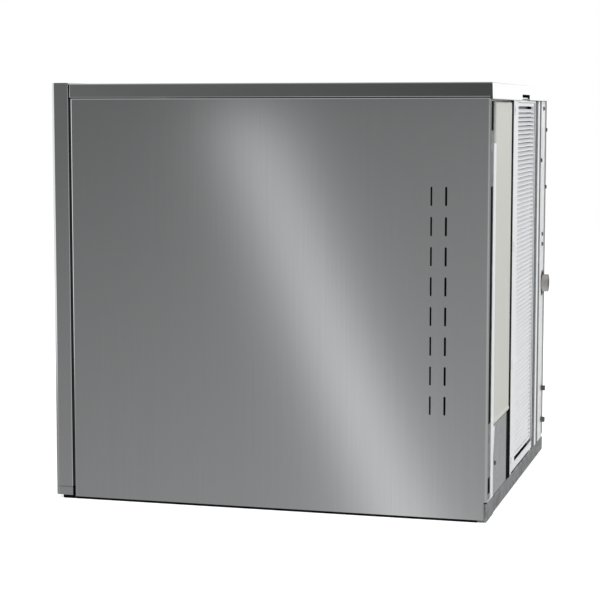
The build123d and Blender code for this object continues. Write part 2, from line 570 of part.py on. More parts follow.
# Evaporator tube: copper serpentine behind the plate, with both ends through the liner
COIL_X = 105.0
COIL_R = 4.9
COIL_PASSES = 6
COIL_STEP = (COIL_PORTS[1][1] - COIL_PORTS[0][1]) / (COIL_PASSES - 1)
COIL_FRONT_Y, COIL_BACK_Y = -185.0, 112.0
COIL_END_X = 74.0
coil_points = [(COIL_END_X, *COIL_PORTS[0]), (COIL_X, *COIL_PORTS[0])]
for step in range(COIL_PASSES - 1):
    turn_y = COIL_FRONT_Y if step % 2 == 0 else COIL_BACK_Y
    level = COIL_PORTS[0][1] + step * COIL_STEP
    coil_points += [(COIL_X, turn_y, level), (COIL_X, turn_y, level + COIL_STEP)]
coil_points += [(COIL_X, *COIL_PORTS[1]), (COIL_END_X, *COIL_PORTS[1])]
turn_radius = COIL_STEP / 2 - 1
coil_radii = [12] + [turn_radius] * (2 * (COIL_PASSES - 1)) + [12]
with BuildPart() as evaporator_tube:
    with BuildLine():
        coil_path = FilletPolyline(*coil_points, radius=coil_radii)
    with BuildSketch(Plane(origin=coil_path @ 0, z_dir=coil_path % 0)):
        Circle(COIL_R)
    sweep()
pieces["evaporator_tube"] = evaporator_tube

# Water distributor: tube with a row of holes, on two saddles above the plate
EVAP_TOP_Z = EVAP_Z + EVAP_SIZE / 2
DIST_X, DIST_Z, DIST_R = 122.0, 518.0, 11.0
DIST_Y0, DIST_Y1 = -195.0, 127.0
DIST_WALL = 2.0
DIST_HOLE_R = 1.6
SADDLES_Y = (-150.0, 80.0)
SADDLE_W, SADDLE_L = 16.0, 12.0
with BuildPart() as water_distributor:
    with BuildSketch(Plane.XZ.offset(-DIST_Y1)):
        with Locations((DIST_X, DIST_Z)):
            Circle(DIST_R)
    extrude(amount=DIST_Y1 - DIST_Y0)
    with Locations(*[(DIST_X, saddle_y, EVAP_TOP_Z) for saddle_y in SADDLES_Y]):
        Box(SADDLE_W, SADDLE_L, DIST_Z - EVAP_TOP_Z - 4, align=UP)
    with BuildSketch(Plane.XZ.offset(-DIST_Y1)):
        with Locations((DIST_X, DIST_Z)):
            Circle(DIST_R - DIST_WALL)
    extrude(amount=DIST_Y1 - DIST_Y0 - DIST_WALL, mode=Mode.SUBTRACT)
    with BuildSketch(Plane.YZ.offset(DIST_X)):
        with Locations((EVAP_Y, DIST_Z)):
            with GridLocations(CELL, 0, CELL_COUNT, 1):
                Circle(DIST_HOLE_R)
    extrude(amount=DIST_R + 1, mode=Mode.SUBTRACT)
pieces["water_distributor"] = water_distributor

# Curtain hangers: two plastic plates on the plate's ends with the pivot holes
HANGER_T = 4.0
HANGER_R = 3.1
EVAP_FRONT_Y = EVAP_Y - EVAP_SIZE / 2
EVAP_BACK_Y = EVAP_Y + EVAP_SIZE / 2
with BuildPart() as curtain_hangers:
    for plane_y in (EVAP_FRONT_Y, EVAP_BACK_Y + HANGER_T):
        with BuildSketch(Plane.XZ.offset(-plane_y)):
            with BuildLine():
                FilletPolyline(
                    (EVAP_X0 + 3, EVAP_TOP_Z - 4),
                    (EVAP_X0 + 3, EVAP_TOP_Z - 40),
                    (CURTAIN_X + 3, CURTAIN_Z - 8),
                    (CURTAIN_X + 6, CURTAIN_Z + 6),
                    (CURTAIN_X - 6, CURTAIN_Z + 6),
                    radius=2.5,
                    close=True,
                )
            make_face()
            with Locations((CURTAIN_X, CURTAIN_Z)):
                Circle(HANGER_R, mode=Mode.SUBTRACT)
        extrude(amount=HANGER_T)
pieces["curtain_hangers"] = curtain_hangers

# Water curtain: thin moulded flap with ribs that swings open when the ice drops
CURTAIN_Y0, CURTAIN_Y1 = EVAP_FRONT_Y + 4, EVAP_BACK_Y - 4
CURTAIN_T = 2.5
CURTAIN_BOW = 9.0
CURTAIN_FOOT_Z = 112.0
BEAD_R = 5.0
RIB_COUNT, RIB_PITCH = 5, 62.0
RIB_SIZE = (3.0, 5.0, 250.0)
RIB_Z = 310.0
with BuildPart() as water_curtain:
    with BuildSketch(Plane.XZ.offset(-CURTAIN_Y1)):
        with BuildLine() as curtain_line:
            FilletPolyline(
                (CURTAIN_X, CURTAIN_Z),
                (CURTAIN_X + CURTAIN_BOW, CURTAIN_Z - 30),
                (CURTAIN_X + CURTAIN_BOW, CURTAIN_FOOT_Z + 38),
                (CURTAIN_X, CURTAIN_FOOT_Z),
                radius=30,
            )
        trace(curtain_line.line, CURTAIN_T)
        with Locations((CURTAIN_X, CURTAIN_Z)):
            Circle(BEAD_R)
    extrude(amount=CURTAIN_Y1 - CURTAIN_Y0)
    for rib in range(RIB_COUNT):
        rib_y = EVAP_Y + (rib - (RIB_COUNT - 1) / 2) * RIB_PITCH
        with Locations((CURTAIN_X + CURTAIN_BOW + CURTAIN_T / 2 + 1, rib_y, RIB_Z)):
            Box(*RIB_SIZE)
    with Locations(Location((CURTAIN_X, EVAP_FRONT_Y - HANGER_T, CURTAIN_Z), ALONG_Y)):
        Cylinder(HANGER_R - 0.06, EVAP_SIZE + 2 * HANGER_T, align=UP)
pieces["water_curtain"] = water_curtain

# Ice thickness probe: plastic arm over the plate's top with a metal finger
PROBE_Y, PROBE_W = -60.0, 18.0
PROBE_REACH, PROBE_DROP = 30.0, 45.0
FINGER_R, FINGER_L = 1.5, 30.0
with BuildPart() as ice_probe:
    with Locations((EVAP_X0 + 4, PROBE_Y - PROBE_W / 2, EVAP_TOP_Z)):
        Box(PROBE_REACH, PROBE_W, 3, align=LOW)
    with Locations((EVAP_X1 + 3, PROBE_Y - PROBE_W / 2, EVAP_TOP_Z - PROBE_DROP)):
        Box(7, PROBE_W, PROBE_DROP + 3, align=LOW)
    with Locations((EVAP_X1 + 6.5, PROBE_Y, EVAP_TOP_Z - PROBE_DROP - FINGER_L)):
        Cylinder(FINGER_R, FINGER_L + 2, align=UP)
    fillet(ice_probe.edges().filter_by(Axis.Y).sort_by(Axis.Z)[-1], 2)
pieces["ice_probe"] = ice_probe

# Water trough: moulded tray below the plate
TROUGH_CORNER = 10.0
TROUGH_WALL = 3.0
with BuildPart() as water_trough:
    with BuildSketch(Plane.XY.offset(LINER_Z0 + LINER_WALL)):
        with Locations((TROUGH_X, (TROUGH_Y0 + TROUGH_Y1) / 2)):
            RectangleRounded(TROUGH_X1 - TROUGH_X0, TROUGH_Y1 - TROUGH_Y0, TROUGH_CORNER)
    extrude(amount=TROUGH_TOP_Z - LINER_Z0 - LINER_WALL)
    offset(amount=-TROUGH_WALL, openings=water_trough.faces().sort_by(Axis.Z)[-1])
pieces["water_trough"] = water_trough

# Water pump: motor on a plate over the trough, with its inlet housing and outlet nipple
PUMP_Y = 155.0
PUMP_PLATE_L, PUMP_PLATE_T = 66.0, 3.0
PUMP_R, PUMP_H = 26.0, 66.0
PUMP_CAP_R, PUMP_CAP_H = 21.0, 78.0
IMPELLER_R, IMPELLER_H, IMPELLER_Z = 20.0, 20.0, 42.0
PUMP_SHAFT_R = 8.0
NIPPLE_X, NIPPLE_Y, NIPPLE_R, NIPPLE_H = 150.0, 179.0, 6.0, 20.0
with BuildPart() as water_pump:
    with Locations((TROUGH_X, PUMP_Y, TROUGH_TOP_Z)):
        Box(TROUGH_X1 - TROUGH_X0, PUMP_PLATE_L, PUMP_PLATE_T, align=UP)
        Cylinder(PUMP_R, PUMP_H, align=UP)
    fillet(water_pump.faces().sort_by(Axis.Z)[-1].edges(), 5)
    with Locations((TROUGH_X, PUMP_Y, TROUGH_TOP_Z)):
        Cylinder(PUMP_CAP_R, PUMP_CAP_H, align=UP)
    with Locations((TROUGH_X, PUMP_Y, IMPELLER_Z)):
        Cylinder(IMPELLER_R, IMPELLER_H, align=UP)
        Cylinder(PUMP_SHAFT_R, TROUGH_TOP_Z - IMPELLER_Z, align=UP)
    with Locations((NIPPLE_X, NIPPLE_Y, TROUGH_TOP_Z)):
        Cylinder(NIPPLE_R, NIPPLE_H, align=UP)
pieces["water_pump"] = water_pump

# Supply tube: clear hose from the pump to the distributor
HOSE_R, HOSE_WALL = 7.6, 1.5
with BuildPart() as supply_tube:
    with BuildLine():
        supply_path = FilletPolyline(
            (NIPPLE_X, NIPPLE_Y, TROUGH_TOP_Z + 4),
            (NIPPLE_X, NIPPLE_Y, DIST_Z - 48),
            (DIST_X, NIPPLE_Y, DIST_Z),
            (DIST_X, DIST_Y1, DIST_Z),
            radius=[40, 24],
        )
    with BuildSketch(Plane(origin=supply_path @ 0, z_dir=supply_path % 0)):
        Circle(HOSE_R)
        Circle(HOSE_R - HOSE_WALL, mode=Mode.SUBTRACT)
    sweep()
pieces["supply_tube"] = supply_tube

# Float valve: plate on the trough's rim, valve barrel, inlet nipple and pivot pin
FLOAT_Y = FLOAT_PORT[0]
FLOAT_PIVOT_Z = 92.0
CHEEKS_X = (113.0, 139.0)
CHEEK_Z0 = 84.0
VALVE_PLATE_L = 32.0
BARREL_R, BARREL_H = 9.0, 36.0
VALVE_NIPPLE_R = 5.0
with BuildPart() as float_valve:
    with Locations((TROUGH_X, FLOAT_Y, TROUGH_TOP_Z)):
        Box(TROUGH_X1 - TROUGH_X0, VALVE_PLATE_L, 3, align=UP)
        Cylinder(BARREL_R, BARREL_H, align=UP)
    with Locations(*[(x, FLOAT_Y, CHEEK_Z0) for x in CHEEKS_X]):
        Box(3, 16, TROUGH_TOP_Z - CHEEK_Z0, align=UP)
    with Locations(Location((COIL_END_X, FLOAT_Y, FLOAT_PORT[1]), ALONG_X)):
        Cylinder(VALVE_NIPPLE_R, TROUGH_X - COIL_END_X, align=UP)
    with Locations(Location((CHEEKS_X[0], FLOAT_Y, FLOAT_PIVOT_Z), ALONG_X)):
        Cylinder(PIN_R, CHEEKS_X[1] - CHEEKS_X[0], align=UP)
pieces["float_valve"] = float_valve

# Float and arm: hollow float on a lever that turns on the valve's pin
FLOAT_OFFSET, FLOAT_R, FLOAT_H = 37.0, 16.0, 26.0
ARM_W, ARM_T = 8.0, 5.0
EYE_R, EYE_H = 5.0, 18.0
with BuildPart() as float_arm:
    with Locations((TROUGH_X, FLOAT_Y - FLOAT_OFFSET / 2, FLOAT_PIVOT_Z)):
        Box(ARM_W, FLOAT_OFFSET, ARM_T)
    with Locations((TROUGH_X, FLOAT_Y - FLOAT_OFFSET, FLOAT_PIVOT_Z - FLOAT_H + 2.5)):
        Cylinder(FLOAT_R, FLOAT_H, align=UP)
    with Locations(Location((TROUGH_X, FLOAT_Y, FLOAT_PIVOT_Z), ALONG_X)):
        Cylinder(EYE_R, EYE_H)
        Cylinder(PIN_R + 0.05, EYE_H, mode=Mode.SUBTRACT)
pieces["float_arm"] = float_arm

# Water inlet tube: from the rear fitting to the float valve
INLET_TUBE_R = 5.0
INLET_DROP_Y, INLET_TURN_X = 205.0, 50.0
with BuildPart() as inlet_tube:
    with BuildLine():
        inlet_path = FilletPolyline(
            (INLET_X, INLET_BACK_Y, INLET_Z),
            (INLET_X, INLET_DROP_Y, INLET_Z),
            (INLET_X, INLET_DROP_Y, FLOAT_PORT[1]),
            (INLET_TURN_X, INLET_DROP_Y, FLOAT_PORT[1]),
            (INLET_TURN_X, FLOAT_Y, FLOAT_PORT[1]),
            (COIL_END_X, FLOAT_Y, FLOAT_PORT[1]),
            radius=[30, 30, 16, 14],
        )
    with BuildSketch(Plane(origin=inlet_path @ 0, z_dir=inlet_path % 0)):
        Circle(INLET_TUBE_R)
    sweep()
pieces["inlet_tube"] = inlet_tube

# Compressor: welded steel shell on a foot plate, with terminal cover and two tube stubs
GROMMET_H = 14.0
FOOT_Z = PAN_TOP_Z + GROMMET_H
FOOT_T = 3.0
SHELL_R = 80.0
SHELL_TOP_Z = 236.0
WELD_Z, WELD_W, WELD_H = 130.0, 6.0, 5.0
FOOT_X, FOOT_Y = 78.0, 62.0
FOOT_CORNER, FOOT_HOLE_R = 13.0, 5.0
TERMINAL_COVER = (56.0, 26.0, 62.0)
TERMINAL_Z = 150.0
DISCHARGE_XY = (-130.0, 55.0)
SUCTION_XY = (-195.0, 40.0)
STUB_TOP_Z = 248.0
with BuildPart() as compressor:
    with BuildSketch(Plane.XZ) as shell_half:
        with BuildLine():
            FilletPolyline(
                (0, FOOT_Z + FOOT_T),
                (SHELL_R - 8, FOOT_Z + FOOT_T),
                (SHELL_R, FOOT_Z + 40),
                (SHELL_R, SHELL_TOP_Z - 45),
                (SHELL_R - 22, SHELL_TOP_Z - 8),
                (0, SHELL_TOP_Z),
                radius=[12, 12, 25, 30],
            )
            Line((0, SHELL_TOP_Z), (0, FOOT_Z + FOOT_T))
        make_face()
        with Locations((SHELL_R + 1, WELD_Z)):
            Rectangle(WELD_W, WELD_H)
    revolve(axis=Axis.Z)
    with BuildSketch(Plane.XY.offset(FOOT_Z)):
        RectangleRounded(2 * (FOOT_X + FOOT_CORNER), 2 * (FOOT_Y + FOOT_CORNER), FOOT_CORNER)
        with GridLocations(2 * FOOT_X, 2 * FOOT_Y, 2, 2):
            Circle(FOOT_HOLE_R, mode=Mode.SUBTRACT)
    extrude(amount=FOOT_T)
    with Locations((0, -SHELL_R - 4, TERMINAL_Z)):
        Box(*TERMINAL_COVER)
    for stub_x, stub_y, stub_r in ((*DISCHARGE_XY, 5), (*SUCTION_XY, 7)):
        with Locations((stub_x - COMPRESSOR_X, stub_y - COMPRESSOR_Y, SHELL_TOP_Z - 40)):
            Cylinder(stub_r, STUB_TOP_Z - SHELL_TOP_Z + 40, align=UP)
compressor.part.position = (COMPRESSOR_X, COMPRESSOR_Y, 0)
pieces["compressor"] = compressor

# Compressor grommets: four rubber mounts with a waist, through the foot plate's holes
with BuildPart() as compressor_grommets:
    with Locations((COMPRESSOR_X, COMPRESSOR_Y, 0)):
        with GridLocations(2 * FOOT_X, 2 * FOOT_Y, 2, 2):
            with Locations((0, 0, PAN_TOP_Z)):
                Cone(12, 9, GROMMET_H, align=UP)
                Cylinder(FOOT_HOLE_R - 0.1, GROMMET_H + FOOT_T, align=UP)
            with Locations((0, 0, FOOT_Z + FOOT_T)):
                Cylinder(8, 4, align=UP)
pieces["compressor_grommets"] = compressor_grommets

# Condenser coil: finned block with end plates, return bends and two tube stubs
CORE_Y0, CORE_Y1 = 252.0, 296.0
CORE_HALF_W = 82.0
CORE_H = 516.0
BEND_PITCH = 48.0
BEND_ROWS = 10
TUBE_R = 4.8
CORE_MID_Y = (CORE_Y0 + CORE_Y1) / 2
CORE_END_X = CONDENSER_X + CORE_HALF_W
CORE_PORT_X, CORE_PORT_Y = CONDENSER_X - CORE_HALF_W - 8, 270.0
CORE_PORTS_Z = (70.0, 540.0)
with BuildPart() as condenser_coil:
    with Locations((CONDENSER_X, CORE_MID_Y, CONDENSER_Z)):
        Box(2 * CORE_HALF_W, CORE_Y1 - CORE_Y0 - 4, CORE_H)
        with Locations((CORE_HALF_W - 1, 0, 0), (1 - CORE_HALF_W, 0, 0)):
            Box(2, CORE_Y1 - CORE_Y0, CORE_H + 8)
    for row in range(BEND_ROWS):
        bend_z = CONDENSER_Z + (row - (BEND_ROWS - 1) / 2) * BEND_PITCH
        with BuildSketch(Plane(origin=(CORE_END_X, CORE_MID_Y, bend_z + BEND_PITCH / 4), z_dir=(1, 0, 0))):
            Circle(TUBE_R)
        revolve(axis=Axis((CORE_END_X, CORE_MID_Y, bend_z), (0, 1, 0)), revolution_arc=180)
    with Locations(*[Location((CORE_PORT_X, CORE_PORT_Y, z), ALONG_X) for z in CORE_PORTS_Z]):
        Cylinder(5, 10, align=UP)
pieces["condenser_coil"] = condenser_coil

# Fan shroud: sheet plate in front of the coil with a rolled ring round the fan
RING_R, RING_THROAT_R = 81.0, 79.5
RING_DEPTH = 32.0
SHROUD_Y = 249.0
with BuildPart() as fan_shroud:
    with Locations((CONDENSER_X, SHROUD_Y, CONDENSER_Z)):
        Box(2 * CORE_HALF_W, SHEET * 2, CORE_H)
    with BuildSketch(Plane.XZ.offset(-SHROUD_Y)):
        with Locations((CONDENSER_X, CONDENSER_Z)):
            Circle(RING_R)
    extrude(amount=RING_DEPTH)
    with BuildSketch(Plane.XZ.offset(-SHROUD_Y - 4)):
        with Locations((CONDENSER_X, CONDENSER_Z)):
            Circle(RING_THROAT_R)
    extrude(amount=RING_DEPTH + 8, mode=Mode.SUBTRACT)
pieces["fan_shroud"] = fan_shroud

# Fan motor: shaded-pole motor on a two-arm bracket bolted to the shroud
MOTOR_Y0, MOTOR_Y1 = 150.0, 205.0
MOTOR_R = 34.0
SHAFT_R, SHAFT_L = 4.0, 36.0
STRUT_W, STRUT_SPAN = 12.0, 110.0
strut_y = (MOTOR_Y0 + SHROUD_Y) / 2 + 4
with BuildPart() as fan_motor:
    with BuildSketch(Plane.XZ.offset(-MOTOR_Y1)):
        with Locations((CONDENSER_X, CONDENSER_Z)):
            Circle(MOTOR_R)
    extrude(amount=MOTOR_Y1 - MOTOR_Y0)
    fillet(fan_motor.faces().sort_by(Axis.Y)[0].edges(), 8)
    with BuildSketch(Plane.XZ.offset(-MOTOR_Y1)):
        with Locations((CONDENSER_X, CONDENSER_Z)):
            Circle(SHAFT_R)
    extrude(amount=-SHAFT_L)
    with Locations((CONDENSER_X, MOTOR_Y0 + 12, CONDENSER_Z)):
        Box(STRUT_W, 5, 2 * STRUT_SPAN + 4)
    for strut_z in (CONDENSER_Z - STRUT_SPAN, CONDENSER_Z + STRUT_SPAN):
        with Locations((CONDENSER_X, strut_y, strut_z)):
            Box(STRUT_W, SHROUD_Y - MOTOR_Y0 - 10, 4)
pieces["fan_motor"] = fan_motor

# Fan blade: pressed fan, five twisted blades that widen towards their tips, on a hub
BLADE_COUNT = 5
BLADE_R = 74.0
HUB_R = 14.0
HUB_H = 18.0
BLADE_T = 1.6
BLADE_STATIONS = ((10.0, 22.0, 40.0), (42.0, 46.0, 30.0), (78.0, 58.0, 22.0))
with BuildPart() as one_blade:
    for station_x, chord, pitch in BLADE_STATIONS:
        with BuildSketch(Plane(origin=(station_x, 0, 0), x_dir=(0, 1, 0), z_dir=(1, 0, 0))):
            SlotOverall(chord, BLADE_T, rotation=pitch)
    loft()
with BuildPart() as fan_blade:
    Cylinder(HUB_R, HUB_H)
    with PolarLocations(0, BLADE_COUNT):
        add(one_blade.part)
    with BuildSketch(Plane.XY.offset(-BLADE_R)):
        Circle(BLADE_R)
    extrude(amount=2 * BLADE_R, mode=Mode.INTERSECT)
    Cylinder(SHAFT_R + 0.05, 2 * HUB_H, mode=Mode.SUBTRACT)
fan_blade.part.orientation = ALONG_Y
fan_blade.part.position = (CONDENSER_X, FAN_Y, CONDENSER_Z)
pieces["fan_blade"] = fan_blade

# Filter drier: spun copper cartridge on a clip
DRIER_X0, DRIER_X1 = -45.0, 40.0
DRIER_Y, DRIER_Z, DRIER_R = 170.0, 90.0, 19.0
LINE_R = 4.0
CLIP_SIZE = (14.0, 16.0)
with BuildPart() as filter_drier:
    with BuildSketch(Plane.XZ.offset(-DRIER_Y)):
        with BuildLine():
            FilletPolyline(
                (DRIER_X0, DRIER_Z),
                (DRIER_X0, DRIER_Z + LINE_R + 1),
                (DRIER_X0 + 14, DRIER_Z + DRIER_R),
                (DRIER_X1 - 14, DRIER_Z + DRIER_R),
                (DRIER_X1, DRIER_Z + LINE_R + 1),
                (DRIER_X1, DRIER_Z),
                radius=[0.5, 6, 6, 0.5],
            )
            Line((DRIER_X1, DRIER_Z), (DRIER_X0, DRIER_Z))
        make_face()
    revolve(axis=Axis((0, DRIER_Y, DRIER_Z), (1, 0, 0)))
    with Locations((0, DRIER_Y, PAN_TOP_Z)):
        Box(*CLIP_SIZE, DRIER_Z - PAN_TOP_Z - DRIER_R + 4, align=UP)
pieces["filter_drier"] = filter_drier

# Expansion valve: brass body that feeds the evaporator tube
VALVE_X = 55.0
VALVE_R, VALVE_H = 11.0, 34.0
POWER_HEAD_R, POWER_HEAD_H = 15.0, 8.0
with BuildPart() as expansion_valve:
    with Locations((VALVE_X, COIL_PORTS[0][0], COIL_PORTS[0][1])):
        Cylinder(VALVE_R, VALVE_H)
        with Locations((0, 0, VALVE_H / 2)):
            Cylinder(POWER_HEAD_R, POWER_HEAD_H, align=UP)
        with Locations(Location((0, 0, 0), ALONG_X)):
            Cylinder(6, COIL_END_X - VALVE_X, align=UP)
pieces["expansion_valve"] = expansion_valve

# Refrigerant lines: copper tubes between the parts of the circuit
# (each line's radius, its points, and the radii of its bends)
LINES = {
    "discharge_line": (
        5.0,
        (
            (*DISCHARGE_XY, STUB_TOP_Z),
            (*DISCHARGE_XY, 540),
            (-176, 120, 540),
            (-176, 270, 540),
            (CORE_PORT_X, CORE_PORT_Y, CORE_PORTS_Z[1]),
        ),
        [20, 20, 9],
    ),
    "suction_line": (
        6.0,
        (
            (*SUCTION_XY, STUB_TOP_Z),
            (*SUCTION_XY, 385),
            (40, 40, 385),
            (40, 140, 471),
            (COIL_END_X, 140, 471),
        ),
        [30, 30, 22],
    ),
    "liquid_line": (
        LINE_R,
        (
            (CORE_PORT_X, CORE_PORT_Y, CORE_PORTS_Z[0]),
            (-178, 270, 70),
            (-178, DRIER_Y, DRIER_Z),
            (DRIER_X0, DRIER_Y, DRIER_Z),
        ),
        [8, 20],
    ),
    "feed_line": (
        LINE_R,
        (
            (DRIER_X1, DRIER_Y, DRIER_Z),
            (VALVE_X + 4, DRIER_Y, DRIER_Z),
            (VALVE_X, 140, 150),
            (VALVE_X, 140, COIL_PORTS[0][1] - VALVE_H / 2),
        ),
        [10, 20],
    ),
}
for line_name, (tube_r, points, radii) in LINES.items():
    with BuildPart() as line_part:
        with BuildLine():
            line_path = FilletPolyline(*points, radius=radii)
        with BuildSketch(Plane(origin=line_path @ 0, z_dir=line_path % 0)):
            Circle(tube_r)
        sweep()
    pieces[line_name] = line_part

# Control box: galvanised box hung from the front frame, with a cover and the power switch
BOX_X0, BOX_X1 = -262.0, -62.0
BOX_Y0, BOX_Y1 = -262.0, -205.0
BOX_Z0, BOX_Z1 = 400.0, 561.2
SWITCH_X, SWITCH_Z = -110.0, 520.0
SWITCH_BODY_R = 5.8
SWITCH_BLOCK = (18.0, 22.0, 28.0)
with BuildPart() as control_box:
    with Locations((BOX_X0, BOX_Y0, BOX_Z0)):
        Box(BOX_X1 - BOX_X0, BOX_Y1 - BOX_Y0, BOX_Z1 - BOX_Z0, align=LOW)
    offset(amount=-SHEET, openings=control_box.faces().sort_by(Axis.Y)[0])
    with Locations((BOX_X0, FRAME_BACK_Y, BOX_Z1 - SHEET)):
        Box(BOX_X1 - BOX_X0, BOX_Y0 - FRAME_BACK_Y, SHEET, align=LOW)
    with Locations((BOX_X0, FRAME_BACK_Y, BOX_Z1 - SHEET)):
        Box(BOX_X1 - BOX_X0, SHEET, 10, align=LOW)
pieces["control_box"] = control_box

with BuildPart() as control_box_cover:
    with BuildSketch(Plane.XZ.offset(-BOX_Y0)):
        with Locations(((BOX_X0 + BOX_X1) / 2, (BOX_Z0 + BOX_Z1) / 2 - 4)):
            RectangleRounded(BOX_X1 - BOX_X0, BOX_Z1 - BOX_Z0 - 10, 4)
        with Locations((SWITCH_X, SWITCH_Z)):
            Circle(SWITCH_BODY_R + 0.2, mode=Mode.SUBTRACT)
    extrude(amount=GALV)
pieces["control_box_cover"] = control_box_cover

SWITCH_PIVOT_Y = BOX_Y0 - 4
BALL_R = 3.6
LEVER_PIN_R = 1.0
LEVER_L, LEVER_R, LEVER_NECK_R = 14.5, 2.6, 1.9
with BuildPart() as power_switch:
    with Locations((SWITCH_X, BOX_Y0 + 12, SWITCH_Z)):
        Box(*SWITCH_BLOCK)
    with BuildSketch(Plane.XZ.offset(-BOX_Y0 - 1)):
        with Locations((SWITCH_X, SWITCH_Z)):
            Circle(SWITCH_BODY_R)
    extrude(amount=9)
    with BuildSketch(Plane.XZ.offset(-BOX_Y0 + 10)):
        with Locations((SWITCH_X, SWITCH_Z)):
            Circle(SWITCH_BODY_R - 1.2)
    extrude(amount=-16, mode=Mode.SUBTRACT)
    with Locations(Location((SWITCH_X, SWITCH_PIVOT_Y, SWITCH_Z), ALONG_X)):
        Cylinder(LEVER_PIN_R + 0.05, 2 * SWITCH_BODY_R, mode=Mode.SUBTRACT)
pieces["power_switch"] = power_switch

with BuildPart() as switch_lever:
    with BuildSketch(Plane.XZ):
        Circle(BALL_R)
        with Locations((0, -LEVER_L)):
            Circle(LEVER_R)
        with BuildLine():
            Polyline((0, 0), (LEVER_NECK_R, 0), (LEVER_R, -LEVER_L), (0, -LEVER_L), close=True)
        make_face()
        with Locations((0, -LEVER_L)):
            Rectangle(2 * BALL_R, 4 * LEVER_L, align=(Align.MAX, Align.CENTER), mode=Mode.SUBTRACT)
    revolve(axis=Axis.Z)
    Cylinder(LEVER_PIN_R, 2 * SWITCH_BODY_R - 0.4, rotation=ALONG_X)
switch_lever.part.orientation = ALONG_Y
switch_lever.part.position = (SWITCH_X, SWITCH_PIVOT_Y, SWITCH_Z)
pieces["switch_lever"] = switch_lever

# Wiring harness: sheathed cables from the control box, to the compressor's terminals and, clipped
# to the liner's wall, to the fan motor
CABLE_R = 3.0
CABLE_Y, CABLE_Z = -235.0, 430.0
WALL_X = LINER_X0 - CABLE_R - 1.2
CLIP_BLOCK = (9.0, 22.0)
TERMINALS = (COMPRESSOR_X, COMPRESSOR_Y - SHELL_R - 4, 181.0)
CABLES = (
    (
        ((-190, CABLE_Y, BOX_Z0), (-190, CABLE_Y, 262), (TERMINALS[0], TERMINALS[1], 236), TERMINALS),
        [60, 48],
    ),
    (
        (
            (BOX_X1, CABLE_Y, CABLE_Z),
            (WALL_X, CABLE_Y, CABLE_Z),
            (WALL_X, 110, CABLE_Z),
            (WALL_X, 178, CONDENSER_Z),
            (CONDENSER_X + MOTOR_R, 178, CONDENSER_Z),
        ),
        [40, 60, 50],
    ),
)
CLIPS_Y = (-120.0, 20.0)
with BuildPart() as wiring_harness:
    for cable_points, cable_radii in CABLES:
        with BuildLine():
            cable_path = FilletPolyline(*cable_points, radius=cable_radii)
        with BuildSketch(Plane(origin=cable_path @ 0, z_dir=cable_path % 0)):
            Circle(CABLE_R)
        sweep()
    for clip_y in CLIPS_Y:
        with Locations((WALL_X, clip_y, CABLE_Z)):
            Box(LINER_X0 - WALL_X, *CLIP_BLOCK, align=(Align.MIN, Align.CENTER, Align.CENTER))
            Cylinder(CABLE_R + 1, CLIP_BLOCK[0], rotation=ALONG_Y)
pieces["wiring_harness"] = wiring_harness

# Front trim: stainless strip below the door, on the base
TRIM_FOOT_Z, TRIM_TOP_Z = 4.7, 16.7
TONGUE_W = 500.0
FRAME_FRONT_Y = FRAME_BACK_Y - GALV
with BuildPart() as front_trim:
    with Locations((0, (FRONT_Y + DOOR_BACK_Y) / 2, TRIM_FOOT_Z)):
        Box(WIDTH, DOOR_BACK_Y - FRONT_Y, TRIM_TOP_Z - TRIM_FOOT_Z, align=UP)
    fillet(front_trim.edges().filter_by(Axis.Z).group_by(Axis.Y)[0], DOOR_CORNER)
    offset(amount=-SHEET, openings=front_trim.faces().sort_by(Axis.Y)[-1])
    with Locations((0, (DOOR_BACK_Y + FRAME_FRONT_Y) / 2, TRIM_TOP_Z - SHEET)):
        Box(TONGUE_W, FRAME_FRONT_Y - DOOR_BACK_Y, SHEET, align=UP)
    with Locations((HINGE_X, HINGE_Y, TRIM_TOP_Z)):
        Cylinder(PIN_HOLE_R, 4, mode=Mode.SUBTRACT)
pieces["front_trim"] = front_trim

